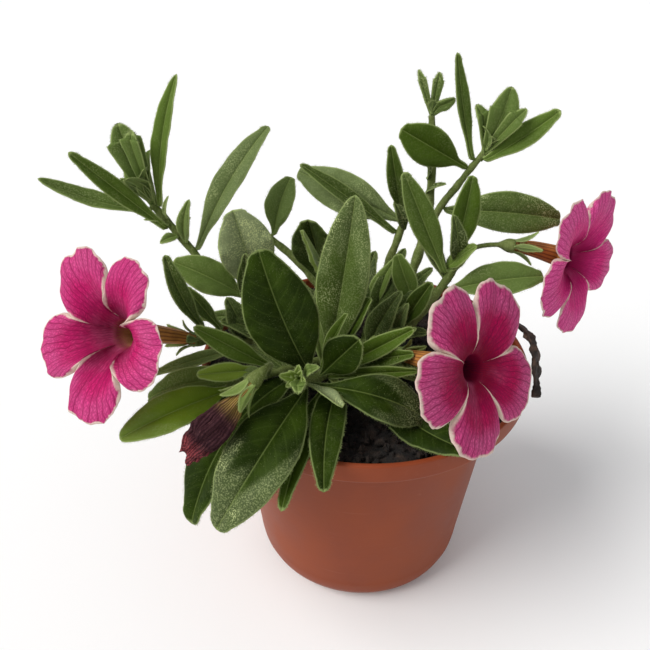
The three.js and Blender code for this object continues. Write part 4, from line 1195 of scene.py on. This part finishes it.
def make_withered():
    """The dead leaf: a rolled blade whose sizes swing by sines along and round it, crumpled by ripples of 6
    to 1 mm."""
    rng = np.random.default_rng(700)
    low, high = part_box("leaf_withered")
    near = np.array([low.x, high.y, high.z])

    def shape(t, turn, broad, flat):
        """Both sizes, uneven along the leaf and round it."""
        wide = broad * (0.8 + 0.25 * np.sin(11 * t + turn) + 0.15 * np.sin(26 * t))
        return wide, flat * (0.85 + 0.25 * np.sin(3 * turn + 7 * t)), 0 * turn * t

    spots, path, marks = limp_tube("leaf_withered", 8, near, 90, 56, shape)
    away = unit(spots - path[:, None])
    spots = spots + away * (ripples(spots, rng, 18, 6 * MM, 1 * MM) * 0.55 * MM)[..., None]
    crumpled = net(spots, path[0], path[-1], marks)
    piece("leaf_withered_crumpled", [crumpled], [DEAD], "withered", "leaf_withered")


make_withered()


# ---- pot and soil -------------------------------------------------------
def rounded(corners, cuts, steps=7):
    """A line through all corners but the first and the last, each replaced by the curve
    (1-t)^2 a + 2t(1-t) corner + t^2 b, where a and b lie a cut away on the sides before and after it."""
    before, after = np.roll(corners, 1, axis=0), np.roll(corners, -1, axis=0)
    a = corners + unit(before - corners) * cuts[:, None]
    b = corners + unit(after - corners) * cuts[:, None]
    t = np.linspace(0, 1, steps)[None, :, None]
    curve = (1 - t) ** 2 * a[:, None] + 2 * t * (1 - t) * corners[:, None] + t**2 * b[:, None]
    return curve[1:-1].reshape(-1, 2)


def turned(profile, sides, start, end):
    """A profile of radius and height, in millimetres, carried round the upright axis, and closed to that
    axis at the heights start and end."""
    turn = np.arange(sides) * 2 * np.pi / sides
    x = profile[:, :1] * np.cos(turn)
    y = profile[:, :1] * np.sin(turn)
    z = profile[:, 1:] + 0 * x
    rows = np.stack([x, y, z], axis=-1) * MM
    return net(rows, np.array([0, 0, start]) * MM, np.array([0, 0, end]) * MM, {})


# the pot, in millimetres
RIM, TOP, LEDGE, WALL = 52.5, 81.5, 75.1, 1.6
DRAIN_HOLES, HOLE_CIRCLE, HOLE_RADIUS = 6, 19, 3.5
SOIL_TOP = 77.6


def make_pot():
    """The pot: its wall's profile with rounded edges carried round, less six round drain holes."""
    corners = np.array([
        [0, 0], [24.5, 0], [36.2, 0.2], [36.9, 12.0], [43.4, 70.1], [44.2, LEDGE], [RIM, LEDGE], [RIM, TOP],
        [RIM - WALL, TOP], [RIM - WALL, LEDGE + WALL], [41.8, LEDGE + 0.6], [35.2, 12.0], [33.9, 2.4],
        [23.5, 2.0], [0, 2.0], [-5, 1.0],
    ])
    cuts = np.array([
        0.1, 1.0, 10.2, 1.2, 4.0, 3.2, 0.9, 0.8, 0.7, 0.6, 1.5, 1.0, 8.4, 1.0, 0.1, 0.1
    ])
    profile = rounded(corners, cuts)
    pot = piece("pot_shell", [turned(profile, 176, 0, 2.0)], [POT], "pot", "pot")
    drills = []
    for k in range(DRAIN_HOLES):
        turn = k * 2 * np.pi / DRAIN_HOLES
        centre = HOLE_CIRCLE * np.array([math.cos(turn), math.sin(turn), 0]) * MM
        line = centre + np.linspace(-5, 5, 4)[:, None] * [0, 0, MM]
        drills.append(swept(line, np.full(4, HOLE_RADIUS * MM), 32))
    drill = piece("drill", drills, [], "pot")
    cut = pot.modifiers.new("drain_holes", "BOOLEAN")
    cut.operation, cut.solver, cut.object = "DIFFERENCE", "EXACT", drill
    graph = bpy.context.evaluated_depsgraph_get()
    cut_mesh = bpy.data.meshes.new_from_object(pot.evaluated_get(graph))
    pot.modifiers.clear()
    pot.data = cut_mesh
    bpy.data.objects.remove(drill)


def make_soil():
    """Peat: the pot's inside, with a lumpy top from ripples of 16 to 2 mm, and crumbs lying on it. A crumb
    is a small ball whose points are moved out and in at random."""
    rng = np.random.default_rng(800)
    below = np.array([
        [23.0, 2.45], [30.6, 6.0], [34.3, 13.0], [40.8, 75.5], [41.8, 77.0], [50.3, 77.1], [50.3, SOIL_TOP],
    ])
    radii = np.linspace(50.0, 1.0, 80)
    profile = np.concatenate([below, np.stack([radii, np.full(80, SOIL_TOP)], axis=1)])
    bed = turned(profile, 260, 2.45, SOIL_TOP)
    spots = bed["points"]
    reach = np.linalg.norm(spots[:, :2], axis=1) / MM
    free = (spots[:, 2] > (SOIL_TOP - 0.1) * MM) * (1 - eased(47.5, 50.2, reach))
    spots[:, 2] += free * (0.3 + 0.9 * ripples(spots, rng, 22, 16 * MM, 2 * MM)) * MM
    count = 1500
    angle, out = rng.uniform(0, 2 * np.pi, count), 49 * np.sqrt(rng.uniform(0.01, 1, count))
    size = rng.uniform(0.35, 1.5, count) ** 1.3
    rows, sides = 4, 7
    polar = np.linspace(0.35, np.pi - 0.35, rows)[:, None]
    turn = np.arange(sides) * 2 * np.pi / sides
    level = np.sin(polar)
    ball = np.stack([level * np.cos(turn), level * np.sin(turn), np.cos(polar) + 0 * turn], axis=-1)
    one = net(ball, np.array([0, 0, 1.0]), np.array([0, 0, -1.0]), {})
    lumps = 1 + 0.4 * rng.normal(size=(count, len(one["points"]), 1)).clip(-1.2, 1.2)
    shape = one["points"][None] * lumps * rng.uniform(0.5, 1.25, (count, 1, 3)) * size[:, None, None]
    height = SOIL_TOP + 0.3 + 0.3 * size
    middle = np.stack([out * np.cos(angle), out * np.sin(angle), height], axis=1)
    crumbs = ((shape + middle[:, None]) * MM).reshape(-1, 3)
    shift = (np.arange(count) * len(one["points"]))[:, None, None]
    scattered = part(
        crumbs, (one["quads"] + shift).reshape(-1, 4), (one["triangles"] + shift).reshape(-1, 3), {}
    )
    piece("soil_bed", [bed, scattered], [PEAT], "soil", "soil")


make_pot()
make_soil()


# ---- floor, light and camera --------------------------------------------
def make_stage():
    """A wide pale floor under an even pale sky, a broad soft sun from the upper left, and a large lamp."""
    mesh = bpy.data.meshes.new("floor")
    mesh.from_pydata([(-40, -40, 0), (40, -40, 0), (40, 40, 0), (-40, 40, 0)], [], [(0, 1, 2, 3)])
    floor = bpy.data.objects.new("floor", mesh)
    bpy.context.scene.collection.objects.link(floor)
    f = Finish("floor_paint", Roughness=0.9, Specular_IOR_Level=0.1)
    mesh.materials.append(f.done(f.blend(f.noise(3.0), paint(248, 248, 248), paint(250, 250, 250))))
    world = bpy.data.worlds.new("sky")
    bpy.context.scene.world = world
    world.use_nodes = True
    world.node_tree.nodes["Background"].inputs["Color"].default_value = (0.97, 0.98, 1.0, 1.0)
    world.node_tree.nodes["Background"].inputs["Strength"].default_value = 0.48
    sun = bpy.data.lights.new("sun", "SUN")
    sun.energy, sun.angle, sun.color = 2.75, math.radians(42), (1.0, 0.99, 0.97)
    fill = bpy.data.lights.new("fill", "SUN")
    fill.energy, fill.angle, fill.color = 0.12, math.radians(60), (0.96, 0.98, 1.0)
    for lamp, away in ((sun, (-1.0, -0.35, 1.0)), (fill, (0.5, -0.8, 0.7))):
        holder = bpy.data.objects.new(lamp.name, lamp)
        holder.rotation_mode = "QUATERNION"
        holder.rotation_quaternion = Vector(away).to_track_quat("Z", "Y")
        bpy.context.scene.collection.objects.link(holder)


def make_camera():
    """In front and above, looking along +Y and down by 33.3 degrees."""
    lens = bpy.data.cameras.new("camera")
    lens.sensor_width, lens.lens = 36.0, 38.77
    lens.clip_start, lens.clip_end = 0.01, 20.0
    camera = bpy.data.objects.new("camera", lens)
    camera.location = (-12.7 * MM, -186.2 * MM, 214.1 * MM)
    camera.rotation_euler = (math.radians(90 - 33.3), 0, 0)
    bpy.context.scene.collection.objects.link(camera)
    bpy.context.scene.camera = camera


make_stage()
make_camera()
bpy.context.scene.view_settings.view_transform = "Standard"
bpy.context.view_layer.update()
